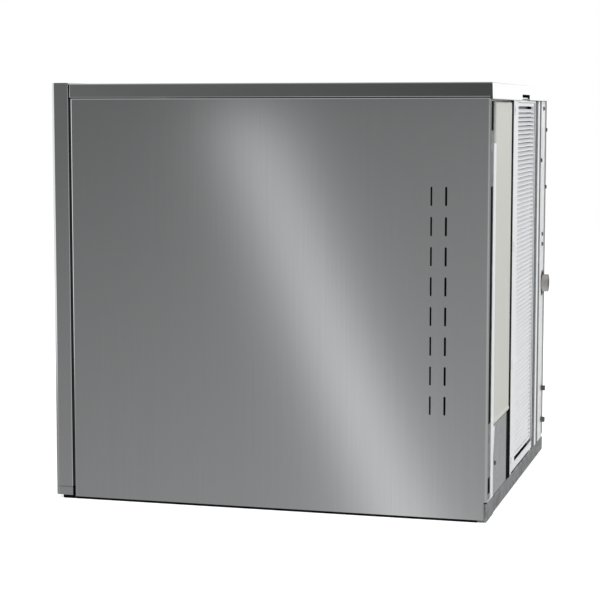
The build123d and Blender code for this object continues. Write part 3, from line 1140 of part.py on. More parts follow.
# Front door: stainless skin with rounded corners and folded edges, stepped under the top hinge
HINGE_LEAF_Z = TOP_Z
HINGE_LEAF_T = 2.5
STEP_X = -258.5
STEP_Z = TOP_Z - 0.3
DOOR_EDGE = 12.0
INNER = SIDE_X - SHEET
with BuildPart() as door_envelope:
    with BuildSketch(Plane.XY.offset(DOOR_Z0)):
        with Locations((0, (FRONT_Y + DOOR_BACK_Y) / 2)):
            outline = Rectangle(WIDTH, DOOR_BACK_Y - FRONT_Y)
        fillet(outline.vertices().group_by(Axis.Y)[0], DOOR_CORNER)
    extrude(amount=DOOR_TOP_Z - DOOR_Z0)
with BuildPart() as front_door:
    with Locations((0, (FRONT_Y + DOOR_BACK_Y) / 2, DOOR_Z0)):
        Box(WIDTH, DOOR_BACK_Y - FRONT_Y, DOOR_TOP_Z - DOOR_Z0, align=UP)
    fillet(front_door.edges().filter_by(Axis.Z).group_by(Axis.Y)[0], DOOR_CORNER)
    fillet(front_door.edges().filter_by(Axis.Z).group_by(Axis.Y)[-1], 1.2)
    with BuildSketch(Plane.XY.offset(DOOR_Z0 + SHEET)):
        with Locations((0, (FRONT_Y + DOOR_BACK_Y) / 2)):
            cavity = Rectangle(2 * INNER, DOOR_BACK_Y - FRONT_Y - 2 * SHEET)
        fillet(cavity.vertices().group_by(Axis.Y)[0], DOOR_CORNER - SHEET)
    extrude(amount=DOOR_TOP_Z - DOOR_Z0 - 2 * SHEET, mode=Mode.SUBTRACT)
    with Locations((0, DOOR_BACK_Y, DOOR_Z0 + DOOR_EDGE)):
        Box(
            2 * (SIDE_X - DOOR_EDGE),
            4 * SHEET,
            DOOR_TOP_Z - DOOR_Z0 - 2 * DOOR_EDGE,
            align=UP,
            mode=Mode.SUBTRACT,
        )
    with BuildSketch(Plane.XY.offset(STEP_Z - 2)):
        with Locations(((STEP_X + 1 - INNER) / 2, (FRONT_Y + DOOR_BACK_Y) / 2)):
            Rectangle(STEP_X + 1 + INNER, DOOR_BACK_Y - FRONT_Y - 2 * SHEET)
        with Locations((HINGE_X, HINGE_Y)):
            Circle(PIN_HOLE_R, mode=Mode.SUBTRACT)
    extrude(amount=DOOR_TOP_Z - STEP_Z + 2)
    with Locations((-SIDE_X, FRONT_Y, STEP_Z)):
        Box(STEP_X + SIDE_X, DOOR_BACK_Y - FRONT_Y, 4, align=LOW, mode=Mode.SUBTRACT)
    add(door_envelope.part, mode=Mode.INTERSECT)
    with Locations((HINGE_X, HINGE_Y, DOOR_Z0)):
        Cylinder(PIN_HOLE_R, 4, mode=Mode.SUBTRACT)
pieces["front_door"] = front_door

# Door inner panel: foam-filled moulding with a raised field over the food zone
INNER_PANEL_X0, INNER_PANEL_X1 = -265.0, 265.0
INNER_PANEL_Z0, INNER_PANEL_Z1 = 31.0, 580.0
FIELD_X, FIELD_Z = -96.0, 305.0
FIELD_W, FIELD_H, FIELD_DEPTH = 300.0, 500.0, 8.0
FIELD_CORNER = 8.0
FIELD_RIBS, FIELD_RIB_H = 5, 8.0
with BuildPart() as door_inner_panel:
    with Locations(((INNER_PANEL_X0 + INNER_PANEL_X1) / 2, FRONT_Y + SHEET, INNER_PANEL_Z0)):
        Box(
            INNER_PANEL_X1 - INNER_PANEL_X0,
            DOOR_BACK_Y - FRONT_Y - SHEET,
            INNER_PANEL_Z1 - INNER_PANEL_Z0,
            align=(Align.CENTER, Align.MIN, Align.MIN),
        )
    fillet(door_inner_panel.edges().filter_by(Axis.Y), 4)
    with Locations((FIELD_X, DOOR_BACK_Y, FIELD_Z)):
        Box(FIELD_W, 2 * FIELD_DEPTH, FIELD_H, mode=Mode.SUBTRACT)
    inside_x = (FIELD_X - FIELD_W / 2 - 1, FIELD_X + FIELD_W / 2 + 1)
    fillet(door_inner_panel.edges().filter_by(Axis.Y).filter_by_position(Axis.X, *inside_x), FIELD_CORNER)
    for rib in range(FIELD_RIBS):
        rib_z = FIELD_Z + (rib - (FIELD_RIBS - 1) / 2) * FIELD_H / FIELD_RIBS
        with Locations((FIELD_X, DOOR_BACK_Y - FIELD_DEPTH, rib_z)):
            Box(FIELD_W - 40, FIELD_DEPTH, FIELD_RIB_H)
pieces["door_inner_panel"] = door_inner_panel

# Door seal: black rubber frame with a bar between the two windows
SEAL_T = 2.8
SEAL_W = 9.0
SEAL_X0, SEAL_X1 = -264.0, 277.0
SEAL_Z0, SEAL_Z1 = 18.0, 571.0
SEAL_BAR_X = 76.0
with BuildPart() as door_gasket:
    with BuildSketch(Plane.XZ.offset(-DOOR_BACK_Y)):
        with Locations(((SEAL_X0 + SEAL_X1) / 2, (SEAL_Z0 + SEAL_Z1) / 2)):
            Rectangle(SEAL_X1 - SEAL_X0, SEAL_Z1 - SEAL_Z0)
            Rectangle(SEAL_X1 - SEAL_X0 - 2 * SEAL_W, SEAL_Z1 - SEAL_Z0 - 2 * SEAL_W, mode=Mode.SUBTRACT)
        with Locations((SEAL_BAR_X, (SEAL_Z0 + SEAL_Z1) / 2)):
            Rectangle(SEAL_W, SEAL_Z1 - SEAL_Z0)
    extrude(amount=-SEAL_T)
pieces["door_gasket"] = door_gasket

# Hinge bushes: nylon sleeves in the door's top and bottom corner
BUSH_R, BUSH_H = 3.7, 20.0
with BuildPart() as hinge_bushes:
    with Locations((HINGE_X, HINGE_Y, DOOR_Z0 + SHEET), (HINGE_X, HINGE_Y, STEP_Z - 2 - BUSH_H)):
        Cylinder(BUSH_R, BUSH_H, align=UP)
        Cylinder(PIN_R + 0.05, BUSH_H, align=UP, mode=Mode.SUBTRACT)
pieces["hinge_bushes"] = hinge_bushes

# Hinges: lower leaf under the trim's top, upper leaf on the top panel, each with a riveted pin
LEAF_W, LEAF_L = 16.0, 70.0
LEAF_EYE_R = 3.8
LEAF_FOOT_W = 4.1
with BuildPart() as lower_hinge:
    with BuildSketch(Plane.XY.offset(TRIM_TOP_Z - SHEET - HINGE_LEAF_T)):
        with Locations((HINGE_X, HINGE_Y)):
            Circle(LEAF_EYE_R)
        with Locations((HINGE_X - LEAF_EYE_R, HINGE_Y)):
            Rectangle(LEAF_W, DOOR_BACK_Y - HINGE_Y - 0.5, align=(Align.MIN, Align.MIN))
        with Locations((-SIDE_X + FLANGE + 0.3, DOOR_BACK_Y - 1)):
            Rectangle(LEAF_FOOT_W, FRAME_FRONT_Y - DOOR_BACK_Y + 1, align=(Align.MIN, Align.MIN))
    extrude(amount=HINGE_LEAF_T)
    with Locations((HINGE_X, HINGE_Y, TRIM_TOP_Z - SHEET - HINGE_LEAF_T)):
        Cylinder(PIN_R, DOOR_Z0 + BUSH_H - TRIM_TOP_Z + SHEET + HINGE_LEAF_T, align=UP)
pieces["lower_hinge"] = lower_hinge

with BuildPart() as upper_hinge:
    with BuildSketch(Plane.XY.offset(HINGE_LEAF_Z)):
        with Locations((HINGE_X, HINGE_Y)):
            Circle(LEAF_EYE_R)
        with Locations((HINGE_X - LEAF_EYE_R, HINGE_Y)):
            Rectangle(LEAF_W, LEAF_L, align=(Align.MIN, Align.MIN))
    extrude(amount=HINGE_LEAF_T)
    with Locations((HINGE_X, HINGE_Y, STEP_Z - 1 - BUSH_H)):
        Cylinder(PIN_R, BUSH_H + 1 + HINGE_LEAF_T, align=UP)
pieces["upper_hinge"] = upper_hinge

for name, piece in pieces.items():
    piece.part.label = name
    export_step(piece.part, f"parts/{name}.step")
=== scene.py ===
import math

import bpy
import numpy as np
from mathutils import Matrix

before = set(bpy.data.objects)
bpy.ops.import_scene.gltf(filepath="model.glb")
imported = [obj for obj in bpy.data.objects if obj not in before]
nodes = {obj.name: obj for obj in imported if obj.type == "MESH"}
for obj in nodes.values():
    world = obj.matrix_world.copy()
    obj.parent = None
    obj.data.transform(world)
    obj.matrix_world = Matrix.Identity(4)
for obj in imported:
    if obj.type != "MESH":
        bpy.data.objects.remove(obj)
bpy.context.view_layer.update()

# Camera, as the photograph has it: a little behind the right side's middle, at the height of
# the cabinet's top, looking slightly down. The lens follows from the 600 pixel square frame.
CAMERA_PLACE = (2.6483, 0.7001, 0.5526)
CAMERA_YAW = math.radians(15.40)
CAMERA_PITCH = math.radians(5.95)
FOCAL_PIXELS = 1797.66
PICTURE_PIXELS = 600
SENSOR_MM = 36.0
camera_data = bpy.data.cameras.new("camera")
camera_data.sensor_width = SENSOR_MM
camera_data.lens = FOCAL_PIXELS * SENSOR_MM / PICTURE_PIXELS
camera = bpy.data.objects.new("camera", camera_data)
camera.location = CAMERA_PLACE
camera.rotation_euler = (math.pi / 2 - CAMERA_PITCH, 0, math.pi / 2 + CAMERA_YAW)
bpy.context.scene.collection.objects.link(camera)
bpy.context.scene.camera = camera
bpy.context.scene.view_settings.view_transform = "Standard"


# Studio: a white surround for the camera, and for polished metal a soft grey tent that is dark
# just above the horizon and lighter overhead, with bright strips at the front and the back, and
# one long slanting softbox that the right side mirrors as a band.
def linear(hex_colour):
    """Turns an sRGB hex colour such as 8A8C8E into linear red, green, blue and alpha."""
    channels = np.array([int(hex_colour[i : i + 2], 16) for i in (0, 2, 4)]) / 255
    values = np.where(channels <= 0.04045, channels / 12.92, ((channels + 0.055) / 1.055) ** 2.4)
    return (*values, 1.0)


def add(tree, kind, settings=None, links=None):
    """Adds one shader node: settings are its properties or socket values, links its inputs."""
    made = tree.nodes.new(kind)
    for key, value in (settings or {}).items():
        if isinstance(key, str) and hasattr(made, key):
            setattr(made, key, value)
        else:
            made.inputs[key].default_value = value
    for key, source in (links or {}).items():
        tree.links.new(source, made.inputs[key])
    return made


BAND_TOP = np.array((2.369, -0.736, 0.007))
BAND_FOOT = np.array((2.369, -0.513, -0.543))
BAND_WIDTH = 0.0165
BAND_LIGHT = 0.92
BAND_AIM = np.array((1, -0.27, -0.1))
BAND_FADE = (0.016, -0.016)
TENT_MEAN = 0.321
TENT_SLOPE = (0.10, 0.405, -0.912)
TENT_LIMITS = (0.10, 0.80)
HIGH_TENT_MEAN = 0.019
HIGH_TENT_SLOPE = -0.60
HORIZON = (0.012, 0.048)
FRONT_EDGE = (-0.45, -0.62)
FRONT_FOOT = (-0.17, -0.11)
FRONT_TOP = (0.03, 0.07)
FRONT_LIGHT = 1.5
FRONT_FAR_LIGHT = 0.3
BACK_EDGE = (-0.6, -0.9)
BACK_RISE = (0.010, 0.017)
BACK_TOP = (0.12, 0.18)
BACK_LIGHT = 1.30
SKY_RISE = (0.13, 0.45)
SKY_LIGHT = 0.5
ROOM_LIGHT = 0.55
world = bpy.data.worlds.new("studio")
bpy.context.scene.world = world
world.use_nodes = True
tree = world.node_tree
tree.nodes.clear()
heading = add(tree, "ShaderNodeTexCoord").outputs["Generated"]
parts = add(tree, "ShaderNodeSeparateXYZ", links={0: heading})
slope = add(tree, "ShaderNodeVectorMath", {"operation": "DOT_PRODUCT", 1: TENT_SLOPE}, {0: heading})
low_tent = add(tree, "ShaderNodeMath", {"operation": "ADD", 1: TENT_MEAN}, {0: slope.outputs["Value"]})
high_tent = add(
    tree,
    "ShaderNodeMath",
    {"operation": "MULTIPLY_ADD", 1: HIGH_TENT_SLOPE, 2: HIGH_TENT_MEAN},
    {0: parts.outputs["Y"]},
)
above = add(
    tree,
    "ShaderNodeMapRange",
    {"interpolation_type": "SMOOTHSTEP", "From Min": HORIZON[0], "From Max": HORIZON[1]},
    {"Value": parts.outputs["Z"]},
)
tent = add(
    tree,
    "ShaderNodeMix",
    links={"Factor": above.outputs[0], "A": low_tent.outputs[0], "B": high_tent.outputs[0]},
)
clamped = add(
    tree,
    "ShaderNodeClamp",
    {"Min": TENT_LIMITS[0], "Max": TENT_LIMITS[1]},
    {"Value": tent.outputs["Result"]},
)
band_normal = np.cross(BAND_TOP, BAND_FOOT)
across = band_normal / np.linalg.norm(band_normal) / BAND_WIDTH
offset = add(tree, "ShaderNodeVectorMath", {"operation": "DOT_PRODUCT", 1: across}, {0: heading})
squared = add(tree, "ShaderNodeMath", {"operation": "POWER", 1: 2.0}, {0: offset.outputs["Value"]})
negative = add(tree, "ShaderNodeMath", {"operation": "MULTIPLY", 1: -1.0}, {0: squared.outputs[0]})
bell = add(tree, "ShaderNodeMath", {"operation": "EXPONENT"}, {0: negative.outputs[0]})
band_aim = BAND_AIM / np.linalg.norm(BAND_AIM)
to_side = add(tree, "ShaderNodeVectorMath", {"operation": "DOT_PRODUCT", 1: band_aim}, {0: heading})
side_only = add(
    tree,
    "ShaderNodeMapRange",
    {"From Min": 0.75, "From Max": 0.95, "To Max": BAND_LIGHT},
    {"Value": to_side.outputs["Value"]},
)
band_end = add(
    tree,
    "ShaderNodeMapRange",
    {"interpolation_type": "SMOOTHSTEP", "From Min": BAND_FADE[0], "From Max": BAND_FADE[1]},
    {"Value": parts.outputs["Z"]},
)
band_low = add(
    tree,
    "ShaderNodeMath",
    {"operation": "MULTIPLY"},
    {0: side_only.outputs[0], 1: band_end.outputs[0]},
)
to_front = add(
    tree,
    "ShaderNodeMapRange",
    {"interpolation_type": "SMOOTHSTEP", "From Min": FRONT_EDGE[0], "From Max": FRONT_EDGE[1]},
    {"Value": parts.outputs["Y"]},
)
front_foot = add(
    tree,
    "ShaderNodeMapRange",
    {"interpolation_type": "SMOOTHSTEP", "From Min": FRONT_FOOT[0], "From Max": FRONT_FOOT[1]},
    {"Value": parts.outputs["Z"]},
)
front_top = add(
    tree,
    "ShaderNodeMapRange",
    {"interpolation_type": "SMOOTHSTEP", "From Min": FRONT_TOP[1], "From Max": FRONT_TOP[0]},
    {"Value": parts.outputs["Z"]},
)
front_strip = add(
    tree,
    "ShaderNodeMath",
    {"operation": "MULTIPLY"},
    {0: front_foot.outputs[0], 1: front_top.outputs[0]},
)
front_level = add(
    tree,
    "ShaderNodeMath",
    {"operation": "MULTIPLY_ADD", 1: FRONT_LIGHT - FRONT_FAR_LIGHT, 2: FRONT_FAR_LIGHT},
    {0: front_strip.outputs[0]},
)
to_back = add(
    tree,
    "ShaderNodeMapRange",
    {"interpolation_type": "SMOOTHSTEP", "From Min": BACK_EDGE[0], "From Max": BACK_EDGE[1]},
    {"Value": parts.outputs["X"]},
)
back_rise = add(
    tree,
    "ShaderNodeMapRange",
    {
        "interpolation_type": "SMOOTHSTEP",
        "From Min": BACK_RISE[0],
        "From Max": BACK_RISE[1],
        "To Max": BACK_LIGHT,
    },
    {"Value": parts.outputs["Z"]},
)
back_top = add(
    tree,
    "ShaderNodeMapRange",
    {"interpolation_type": "SMOOTHSTEP", "From Min": BACK_TOP[1], "From Max": BACK_TOP[0]},
    {"Value": parts.outputs["Z"]},
)
back_strip = add(
    tree,
    "ShaderNodeMath",
    {"operation": "MULTIPLY"},
    {0: back_rise.outputs[0], 1: back_top.outputs[0]},
)
sky = add(
    tree,
    "ShaderNodeMapRange",
    {"From Min": SKY_RISE[0], "From Max": SKY_RISE[1], "To Max": SKY_LIGHT},
    {"Value": parts.outputs["Z"]},
)
with_band = add(
    tree,
    "ShaderNodeMath",
    {"operation": "MULTIPLY_ADD"},
    {0: bell.outputs[0], 1: band_low.outputs[0], 2: clamped.outputs[0]},
)
with_back = add(
    tree,
    "ShaderNodeMath",
    {"operation": "MULTIPLY_ADD"},
    {0: to_back.outputs[0], 1: back_strip.outputs[0], 2: with_band.outputs[0]},
)
with_front = add(
    tree,
    "ShaderNodeMath",
    {"operation": "MULTIPLY_ADD"},
    {0: to_front.outputs[0], 1: front_level.outputs[0], 2: with_back.outputs[0]},
)
with_sky = add(
    tree,
    "ShaderNodeMath",
    {"operation": "ADD"},
    {0: sky.outputs[0], 1: with_front.outputs[0]},
)
rays = add(tree, "ShaderNodeLightPath")
white = add(tree, "ShaderNodeBackground", {"Color": (1, 1, 1, 1), "Strength": 1.0})
room = add(tree, "ShaderNodeBackground", {"Color": (1, 1, 1, 1), "Strength": ROOM_LIGHT})
mirrored = add(tree, "ShaderNodeBackground", {"Color": (1, 1, 1, 1)}, {"Strength": with_sky.outputs[0]})
for_metal = add(
    tree,
    "ShaderNodeMixShader",
    links={0: rays.outputs["Is Glossy Ray"], 1: room.outputs[0], 2: mirrored.outputs[0]},
)
white_rays = add(
    tree,
    "ShaderNodeMath",
    {"operation": "MAXIMUM"},
    {0: rays.outputs["Is Camera Ray"], 1: rays.outputs["Is Transmission Ray"]},
)
surround = add(
    tree,
    "ShaderNodeMixShader",
    links={0: white_rays.outputs[0], 1: for_metal.outputs[0], 2: white.outputs[0]},
)
add(tree, "ShaderNodeOutputWorld", links={"Surface": surround.outputs[0]})

# Lamps: three large soft squares, overhead, behind on the left and in front on the right. The
# metal doesn't mirror them, because the tent above already stands for them.
LAMPS = {
    "overhead": ((0.6, 0.2, 2.6), (0.0, 0.0, 0.3), 2.4, 26.0),
    "rear_left": ((-1.0, 2.8, 1.5), (0.0, 0.3, 0.3), 1.8, 30.0),
    "front_right": ((1.6, -2.6, 1.4), (0.0, 0.0, 0.3), 1.8, 22.0),
}
for lamp_name, (place, target, side, power) in LAMPS.items():
    lamp_data = bpy.data.lights.new(lamp_name, "AREA")
    lamp_data.size = side
    lamp_data.energy = power
    lamp = bpy.data.objects.new(lamp_name, lamp_data)
    lamp.location = place
    aim = np.array(target) - np.array(place)
    flat = math.hypot(aim[0], aim[1])
    lamp.rotation_euler = (math.atan2(flat, -aim[2]), 0, math.atan2(aim[1], aim[0]) - math.pi / 2)
    lamp.visible_glossy = False
    bpy.context.scene.collection.objects.link(lamp)

# Floor: a matt white table that keeps the cabinet's shadow. The camera sees it as white paper,
# so the shadow is what is left of the light on it.
FLOOR_HALF = 6.0
FLOOR_GLOW = 0.55
floor_mesh = bpy.data.meshes.new("floor")
floor_mesh.from_pydata(
    [(x * FLOOR_HALF, y * FLOOR_HALF, 0) for x, y in ((-1, -1), (1, -1), (1, 1), (-1, 1))],
    [],
    [(0, 1, 2, 3)],
)
floor = bpy.data.objects.new("floor", floor_mesh)
bpy.context.scene.collection.objects.link(floor)
paper = bpy.data.materials.new("matt_white_paper")
paper.use_nodes = True
tree = paper.node_tree
tree.nodes.clear()
matt = add(tree, "ShaderNodeBsdfDiffuse", {"Color": linear("F4F4F4")})
glow = add(tree, "ShaderNodeEmission", {"Color": (1, 1, 1, 1), "Strength": FLOOR_GLOW})
lit = add(tree, "ShaderNodeAddShader", links={0: matt.outputs[0], 1: glow.outputs[0]})
seen = add(tree, "ShaderNodeLightPath")
table = add(
    tree,
    "ShaderNodeMixShader",
    links={0: seen.outputs["Is Camera Ray"], 1: matt.outputs[0], 2: lit.outputs[0]},
)
add(tree, "ShaderNodeOutputMaterial", links={"Surface": table.outputs[0]})
floor_mesh.materials.append(paper)
floor.visible_glossy = False


# Seal to the bin and foam behind the panels: closed-cell foam cut from sheet and glued on, black with
# hardly any gloss. Behind the panels its black is painted shade, a dark sheet in the slots and gaps.
def start_material(name):
    """Starts a material, and returns it with its tree and its Object coordinates."""
    made = bpy.data.materials.new(name)
    made.use_nodes = True
    made.node_tree.nodes.clear()
    return made, made.node_tree, add(made.node_tree, "ShaderNodeTexCoord").outputs["Object"]


def shade(colour, factor):
    """A hex colour as linear values, darker or lighter by the factor, and at most white."""
    return (*np.minimum(np.array(linear(colour)[:3]) * factor, 1.0), 1.0)


def coated(name, colour, roughness, grain_mm, depth_mm, spread, tone_mm=110.0, specular=0.5):
    """A coat or moulding: noise of the grain's size gives relief, and a broader one the tone."""
    made, tree, place = start_material(name)
    fine = add(tree, "ShaderNodeTexNoise", {"Scale": 1000 / grain_mm, "Detail": 2.0}, {"Vector": place})
    broad = add(tree, "ShaderNodeTexNoise", {"Scale": 1000 / tone_mm, "Detail": 3.0}, {"Vector": place})
    relief = add(
        tree,
        "ShaderNodeBump",
        {"Strength": 0.3, "Distance": depth_mm / 1000},
        {"Height": fine.outputs[0]},
    )
    tone = add(
        tree,
        "ShaderNodeMix",
        {"data_type": "RGBA", "A": shade(colour, 1 - spread), "B": shade(colour, 1 + spread)},
        {"Factor": broad.outputs[0]},
    )
    shader = add(
        tree,
        "ShaderNodeBsdfPrincipled",
        {"Roughness": roughness, "Specular IOR Level": specular},
        {"Base Color": tone.outputs["Result"], "Normal": relief.outputs[0]},
    )
    add(tree, "ShaderNodeOutputMaterial", links={"Surface": shader.outputs[0]})
    return made


def dress(material, *node_names):
    """Gives one material to the named CAD pieces."""
    for node_name in node_names:
        mesh = nodes[node_name].data
        mesh.materials.clear()
        mesh.materials.append(material)


# near black: the seal to the bin is black foam, and behind the panels this black is painted shade
black_foam_and_painted_shade = coated("closed_cell_foam_and_painted_shade", "0C0C0C", 0.95, 2.5, 0.5, 0.35, specular=0.12)
dress(black_foam_and_painted_shade, "bin_gasket", "post_foam", "side_insulation")


# Base pan, rail, corner bracket and rear post: hot-dip galvanised steel, folded. The zinc shows
# crystals about a centimetre wide, each of its own grey and gloss.
def galvanised(name, colour, crystal_mm, contrast, metallic=1.0):
    """Zinc crystals: the cells of a warped Voronoi pattern set the grey and the gloss."""
    made, tree, place = start_material(name)
    size = 1000.0 / crystal_mm
    warp_width = 0.6 * crystal_mm / 1000
    warp = add(tree, "ShaderNodeTexNoise", {"Scale": size, "Detail": 2.0}, {"Vector": place})
    moved = add(
        tree,
        "ShaderNodeVectorMath",
        {"operation": "MULTIPLY_ADD", 1: (warp_width,) * 3},
        {0: warp.outputs["Color"], 2: place},
    )
    cells = add(tree, "ShaderNodeTexVoronoi", {"Scale": size}, {"Vector": moved.outputs[0]})
    grey = add(tree, "ShaderNodeSeparateColor", links={"Color": cells.outputs["Color"]})
    tone = add(
        tree,
        "ShaderNodeMix",
        {"data_type": "RGBA", "A": shade(colour, 1 - contrast), "B": shade(colour, 1 + contrast)},
        {"Factor": grey.outputs[0]},
    )
    gloss = add(tree, "ShaderNodeMapRange", {"To Min": 0.30, "To Max": 0.52}, {"Value": grey.outputs[1]})
    shader = add(
        tree,
        "ShaderNodeBsdfPrincipled",
        {"Metallic": metallic},
        {"Base Color": tone.outputs["Result"], "Roughness": gloss.outputs[0]},
    )
    add(tree, "ShaderNodeOutputMaterial", links={"Surface": shader.outputs[0]})
    return made


zinc_sheet = galvanised("hot_dip_galvanised_sheet", "939597", 9.0, 0.25)
dress(zinc_sheet, "base_pan", "rear_base_rail", "rear_corner_bracket", "right_rear_post")


# Front frame, side panels and lid: austenitic stainless sheet with a fine brush finish, laser cut
# and folded. The brushing smears each reflection, and the grain shows as faint lines.
def brushed(name, colour, grain, roughness, depth_mm):
    """Brushed metal: noise stretched along the grain varies the tone, the gloss and the relief."""
    made, tree, place = start_material(name)
    stretched = add(tree, "ShaderNodeMapping", {"Scale": grain}, {"Vector": place})
    lines = add(tree, "ShaderNodeTexNoise", {"Scale": 1.0, "Detail": 3.0}, {"Vector": stretched.outputs[0]})
    cloud = add(tree, "ShaderNodeTexNoise", {"Scale": 2.2, "Detail": 1.0}, {"Vector": place})
    sharp = add(tree, "ShaderNodeMapRange", {"From Min": 0.3, "From Max": 0.7}, {"Value": lines.outputs[0]})
    tone = add(
        tree,
        "ShaderNodeMix",
        {"data_type": "RGBA", "A": shade(colour, 0.98), "B": shade(colour, 1.02)},
        {"Factor": sharp.outputs[0]},
    )
    gloss = add(
        tree,
        "ShaderNodeMapRange",
        {"To Min": roughness - 0.02, "To Max": roughness + 0.02},
        {"Value": cloud.outputs[0]},
    )
    relief = add(
        tree,
        "ShaderNodeBump",
        {"Strength": 0.2, "Distance": depth_mm / 1000},
        {"Height": lines.outputs[0]},
    )
    shader = add(
        tree,
        "ShaderNodeBsdfPrincipled",
        {"Metallic": 1.0},
        {
            "Base Color": tone.outputs["Result"],
            "Roughness": gloss.outputs[0],
            "Normal": relief.outputs[0],
        },
    )
    add(tree, "ShaderNodeOutputMaterial", links={"Surface": shader.outputs[0]})
    return made


# the grain is a millimetre wide, coarser than the real scratches, so that it shows
GRAIN_UPRIGHT = (900, 900, 6)
GRAIN_ALONG = (900, 6, 900)
stainless = brushed("brushed_stainless", "B4B5B6", GRAIN_UPRIGHT, 0.10, 0.004)
stainless_lid = brushed("brushed_stainless_lid", "B4B5B6", GRAIN_ALONG, 0.10, 0.004)
dress(stainless, "front_frame", "right_side_panel", "left_side_panel")
dress(stainless_lid, "top_panel")

# Rear covers: the trim, the condenser frame and the divider are steel in white polyester powder
# coat, whose orange peel shows as a fine ripple; the food zone has a pale moulded ABS cover.
white_coat = coated("white_powder_coat", "F0F1F3", 0.35, 1.4, 0.02, 0.03)
dress(white_coat, "rear_edge_trim", "condenser_frame", "rear_divider")
cover_abs = coated("pale_moulded_abs", "CDCEC6", 0.42, 0.9, 0.02, 0.03)
dress(cover_abs, "rear_insulation_panel")

# Rear sheets: skin-passed galvanised steel, rolled after the zinc bath, so that its crystals are
# pressed almost flat. The service panel and the tab in the lid's notch are near white and mostly diffuse,
# brighter than bare zinc: painted reflection that stands in for the glare off their zinc.
zinc_smooth = galvanised("skin_passed_galvanised_sheet", "C2C4C6", 14.0, 0.04)
dress(zinc_smooth, "rear_lower_panel")
# near white and mostly diffuse: painted reflection, brighter than bare zinc
zinc_with_painted_reflection = galvanised("galvanised_sheet_with_painted_reflection", "F2F3F4", 6.0, 0.04, 0.2)
dress(zinc_with_painted_reflection, "rear_service_panel", "notch_tab")

# Foam strips beside the condenser: one node, cut from two foams. The strips by the divider are charcoal
# with pale cut cells; the one by the food zone's cover is plain black, painted shade for the gap there.
STRIP_SPLIT_X = 0.04
foam_strips, tree, place = start_material("charcoal_foam_and_painted_shade")
specks = add(tree, "ShaderNodeTexNoise", {"Scale": 1000 / 5.0, "Detail": 3.0}, {"Vector": place})
charcoal = add(
    tree,
    "ShaderNodeMix",
    {"data_type": "RGBA", "A": shade("6E7072", 0.3), "B": shade("6E7072", 1.7)},
    {"Factor": specks.outputs[0]},
)
along = add(tree, "ShaderNodeSeparateXYZ", links={0: place})
# beside the food zone's cover the foam is plain black: painted shade in the gap by the condenser frame
cover_gap_painted_shade = add(
    tree,
    "ShaderNodeMath",
    {"operation": "GREATER_THAN", 1: STRIP_SPLIT_X},
    {0: along.outputs["X"]},
)
foam_and_painted_shade_tone = add(
    tree,
    "ShaderNodeMix",
    {"data_type": "RGBA", "B": shade("0C0C0C", 1.0)},
    {"Factor": cover_gap_painted_shade.outputs[0], "A": charcoal.outputs["Result"]},
)
foam_shader = add(
    tree,
    "ShaderNodeBsdfPrincipled",
    {"Roughness": 0.95, "Specular IOR Level": 0.12},
    {"Base Color": foam_and_painted_shade_tone.outputs["Result"]},
)
add(tree, "ShaderNodeOutputMaterial", links={"Surface": foam_shader.outputs[0]})
dress(foam_strips, "divider_foam")

# Condenser grille: one piece with eighty bars in a white dipped coat, softer in gloss than the
# powder coat round it. Its bars shade the coil behind them.
grille_coat = coated("white_dipped_coat", "F0F1F3", 0.4, 1.2, 0.02, 0.03)
dress(grille_coat, "condenser_grille")


# Water inlet and rear screws: a nickel plated brass fitting in a black moulded plate, and steel
# screws whose zinc has aged to a dark grey. Handling leaves both a little mottled.
def plain_metal(name, colour, roughness, mottle_mm=14.0, metallic=1.0):
    """A bare metal: broad noise darkens it a little where it is handled, and varies the gloss."""
    made, tree, place = start_material(name)
    spots = add(tree, "ShaderNodeTexNoise", {"Scale": 1000 / mottle_mm, "Detail": 4.0}, {"Vector": place})
    tone = add(
        tree,
        "ShaderNodeMix",
        {"data_type": "RGBA", "A": shade(colour, 0.8), "B": shade(colour, 1.1)},
        {"Factor": spots.outputs[0]},
    )
    gloss = add(
        tree,
        "ShaderNodeMapRange",
        {"To Min": roughness, "To Max": roughness + 0.15},
        {"Value": spots.outputs[0]},
    )
    shader = add(
        tree,
        "ShaderNodeBsdfPrincipled",
        {"Metallic": metallic},
        {"Base Color": tone.outputs["Result"], "Roughness": gloss.outputs[0]},
    )
    add(tree, "ShaderNodeOutputMaterial", links={"Surface": shader.outputs[0]})
    return made


nickel_plate = plain_metal("nickel_plate", "C9C7C1", 0.28, 4.0)
dress(nickel_plate, "water_inlet_fitting")
dark_zinc = plain_metal("aged_zinc_plate", "6B6B69", 0.35, 3.0)
dress(dark_zinc, "rear_screws")
black_abs = coated("black_moulded_plastic", "1B1C1E", 0.42, 0.7, 0.02, 0.03)
dress(black_abs, "inlet_plate")

# Food zone: liner, curtain and trough moulded in glossy white ABS that wipes clean; hangers, float
# and valve in natural nylon, a warmer and duller white; pump, distributor and probe in black.
liner_abs = coated("white_liner_abs", "E3E6E7", 0.28, 0.9, 0.01, 0.03)
dress(liner_abs, "food_zone_liner", "water_curtain", "water_trough")
nylon = coated("natural_nylon", "D8D4C6", 0.4, 0.8, 0.01, 0.03)
dress(nylon, "curtain_hangers", "float_valve", "float_arm")
dress(black_abs, "water_distributor", "water_pump", "ice_probe")
hose_vinyl = coated("milky_vinyl", "D5DAD9", 0.2, 1.0, 0.005, 0.03)
dress(hose_vinyl, "supply_tube")

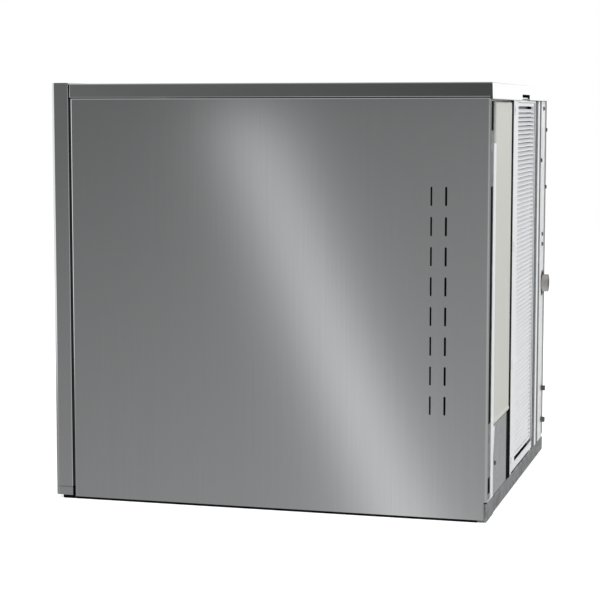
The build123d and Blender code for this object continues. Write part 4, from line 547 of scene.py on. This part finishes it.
# Evaporator: a copper grid dipped in tin, bright and slightly yellow, with a drawn copper tube
# soldered in a coil to its back. The copper keeps a soft shine with darker handled patches.
tinned = plain_metal("tinned_copper", "D8D8D4", 0.18)
dress(tinned, "evaporator_plate")
copper = plain_metal("drawn_copper", "D8906A", 0.22)
dress(copper, "evaporator_tube", "inlet_tube")

# Compressor: a drawn steel shell in glossy black stove enamel, on four black rubber grommets
# whose dull skin takes almost no reflection.
black_enamel = coated("black_enamel", "141518", 0.22, 2.0, 0.02, 0.03)
dress(black_enamel, "compressor")
black_rubber = coated("black_rubber", "141414", 0.6, 0.6, 0.02, 0.03)
dress(black_rubber, "compressor_grommets")

# Condenser and fan: aluminium fins pressed on copper tubes, in a galvanised shroud, with a fan
# stamped from aluminium on a motor in grey paint. The fins are thin, so the pale metal scatters.
aluminium_fin = plain_metal("aluminium_fin", "AEB1B4", 0.45, metallic=0.9)
dress(aluminium_fin, "condenser_coil")
aluminium = plain_metal("stamped_aluminium", "C9CCCF", 0.32)
dress(aluminium, "fan_blade")
zinc_inner = galvanised("galvanised_inner_sheet", "B4B7BA", 7.0, 0.15)
dress(zinc_inner, "fan_shroud")
motor_paint = coated("grey_motor_paint", "5A5E64", 0.4, 1.2, 0.02, 0.03)
dress(motor_paint, "fan_motor")

# Refrigerant circuit: drier and lines of bent and brazed copper, and an expansion valve turned
# from brass, yellower than the copper beside it.
dress(copper, "filter_drier", "discharge_line", "suction_line", "liquid_line", "feed_line")
brass = plain_metal("turned_brass", "D2B878", 0.25)
dress(brass, "expansion_valve")

# Controls: a galvanised box with a cover of the same sheet, a black moulded switch body with a
# plated lever, and two cables in black vinyl, one of them clipped to the liner's wall.
dress(zinc_inner, "control_box", "control_box_cover")
dress(black_abs, "power_switch", "wiring_harness")
zinc_plate = plain_metal("zinc_plate", "C6C6C0", 0.25, 5.0)
dress(zinc_plate, "switch_lever")

# Door: a brushed stainless skin round a white moulded inner panel, with a black rubber seal, on
# two plated hinges with nylon bushes. The trim below it is the same stainless.
dress(stainless, "front_door", "front_trim")
dress(liner_abs, "door_inner_panel")
dress(black_rubber, "door_gasket")
dress(zinc_plate, "lower_hinge", "upper_hinge")
dress(nylon, "hinge_bushes")
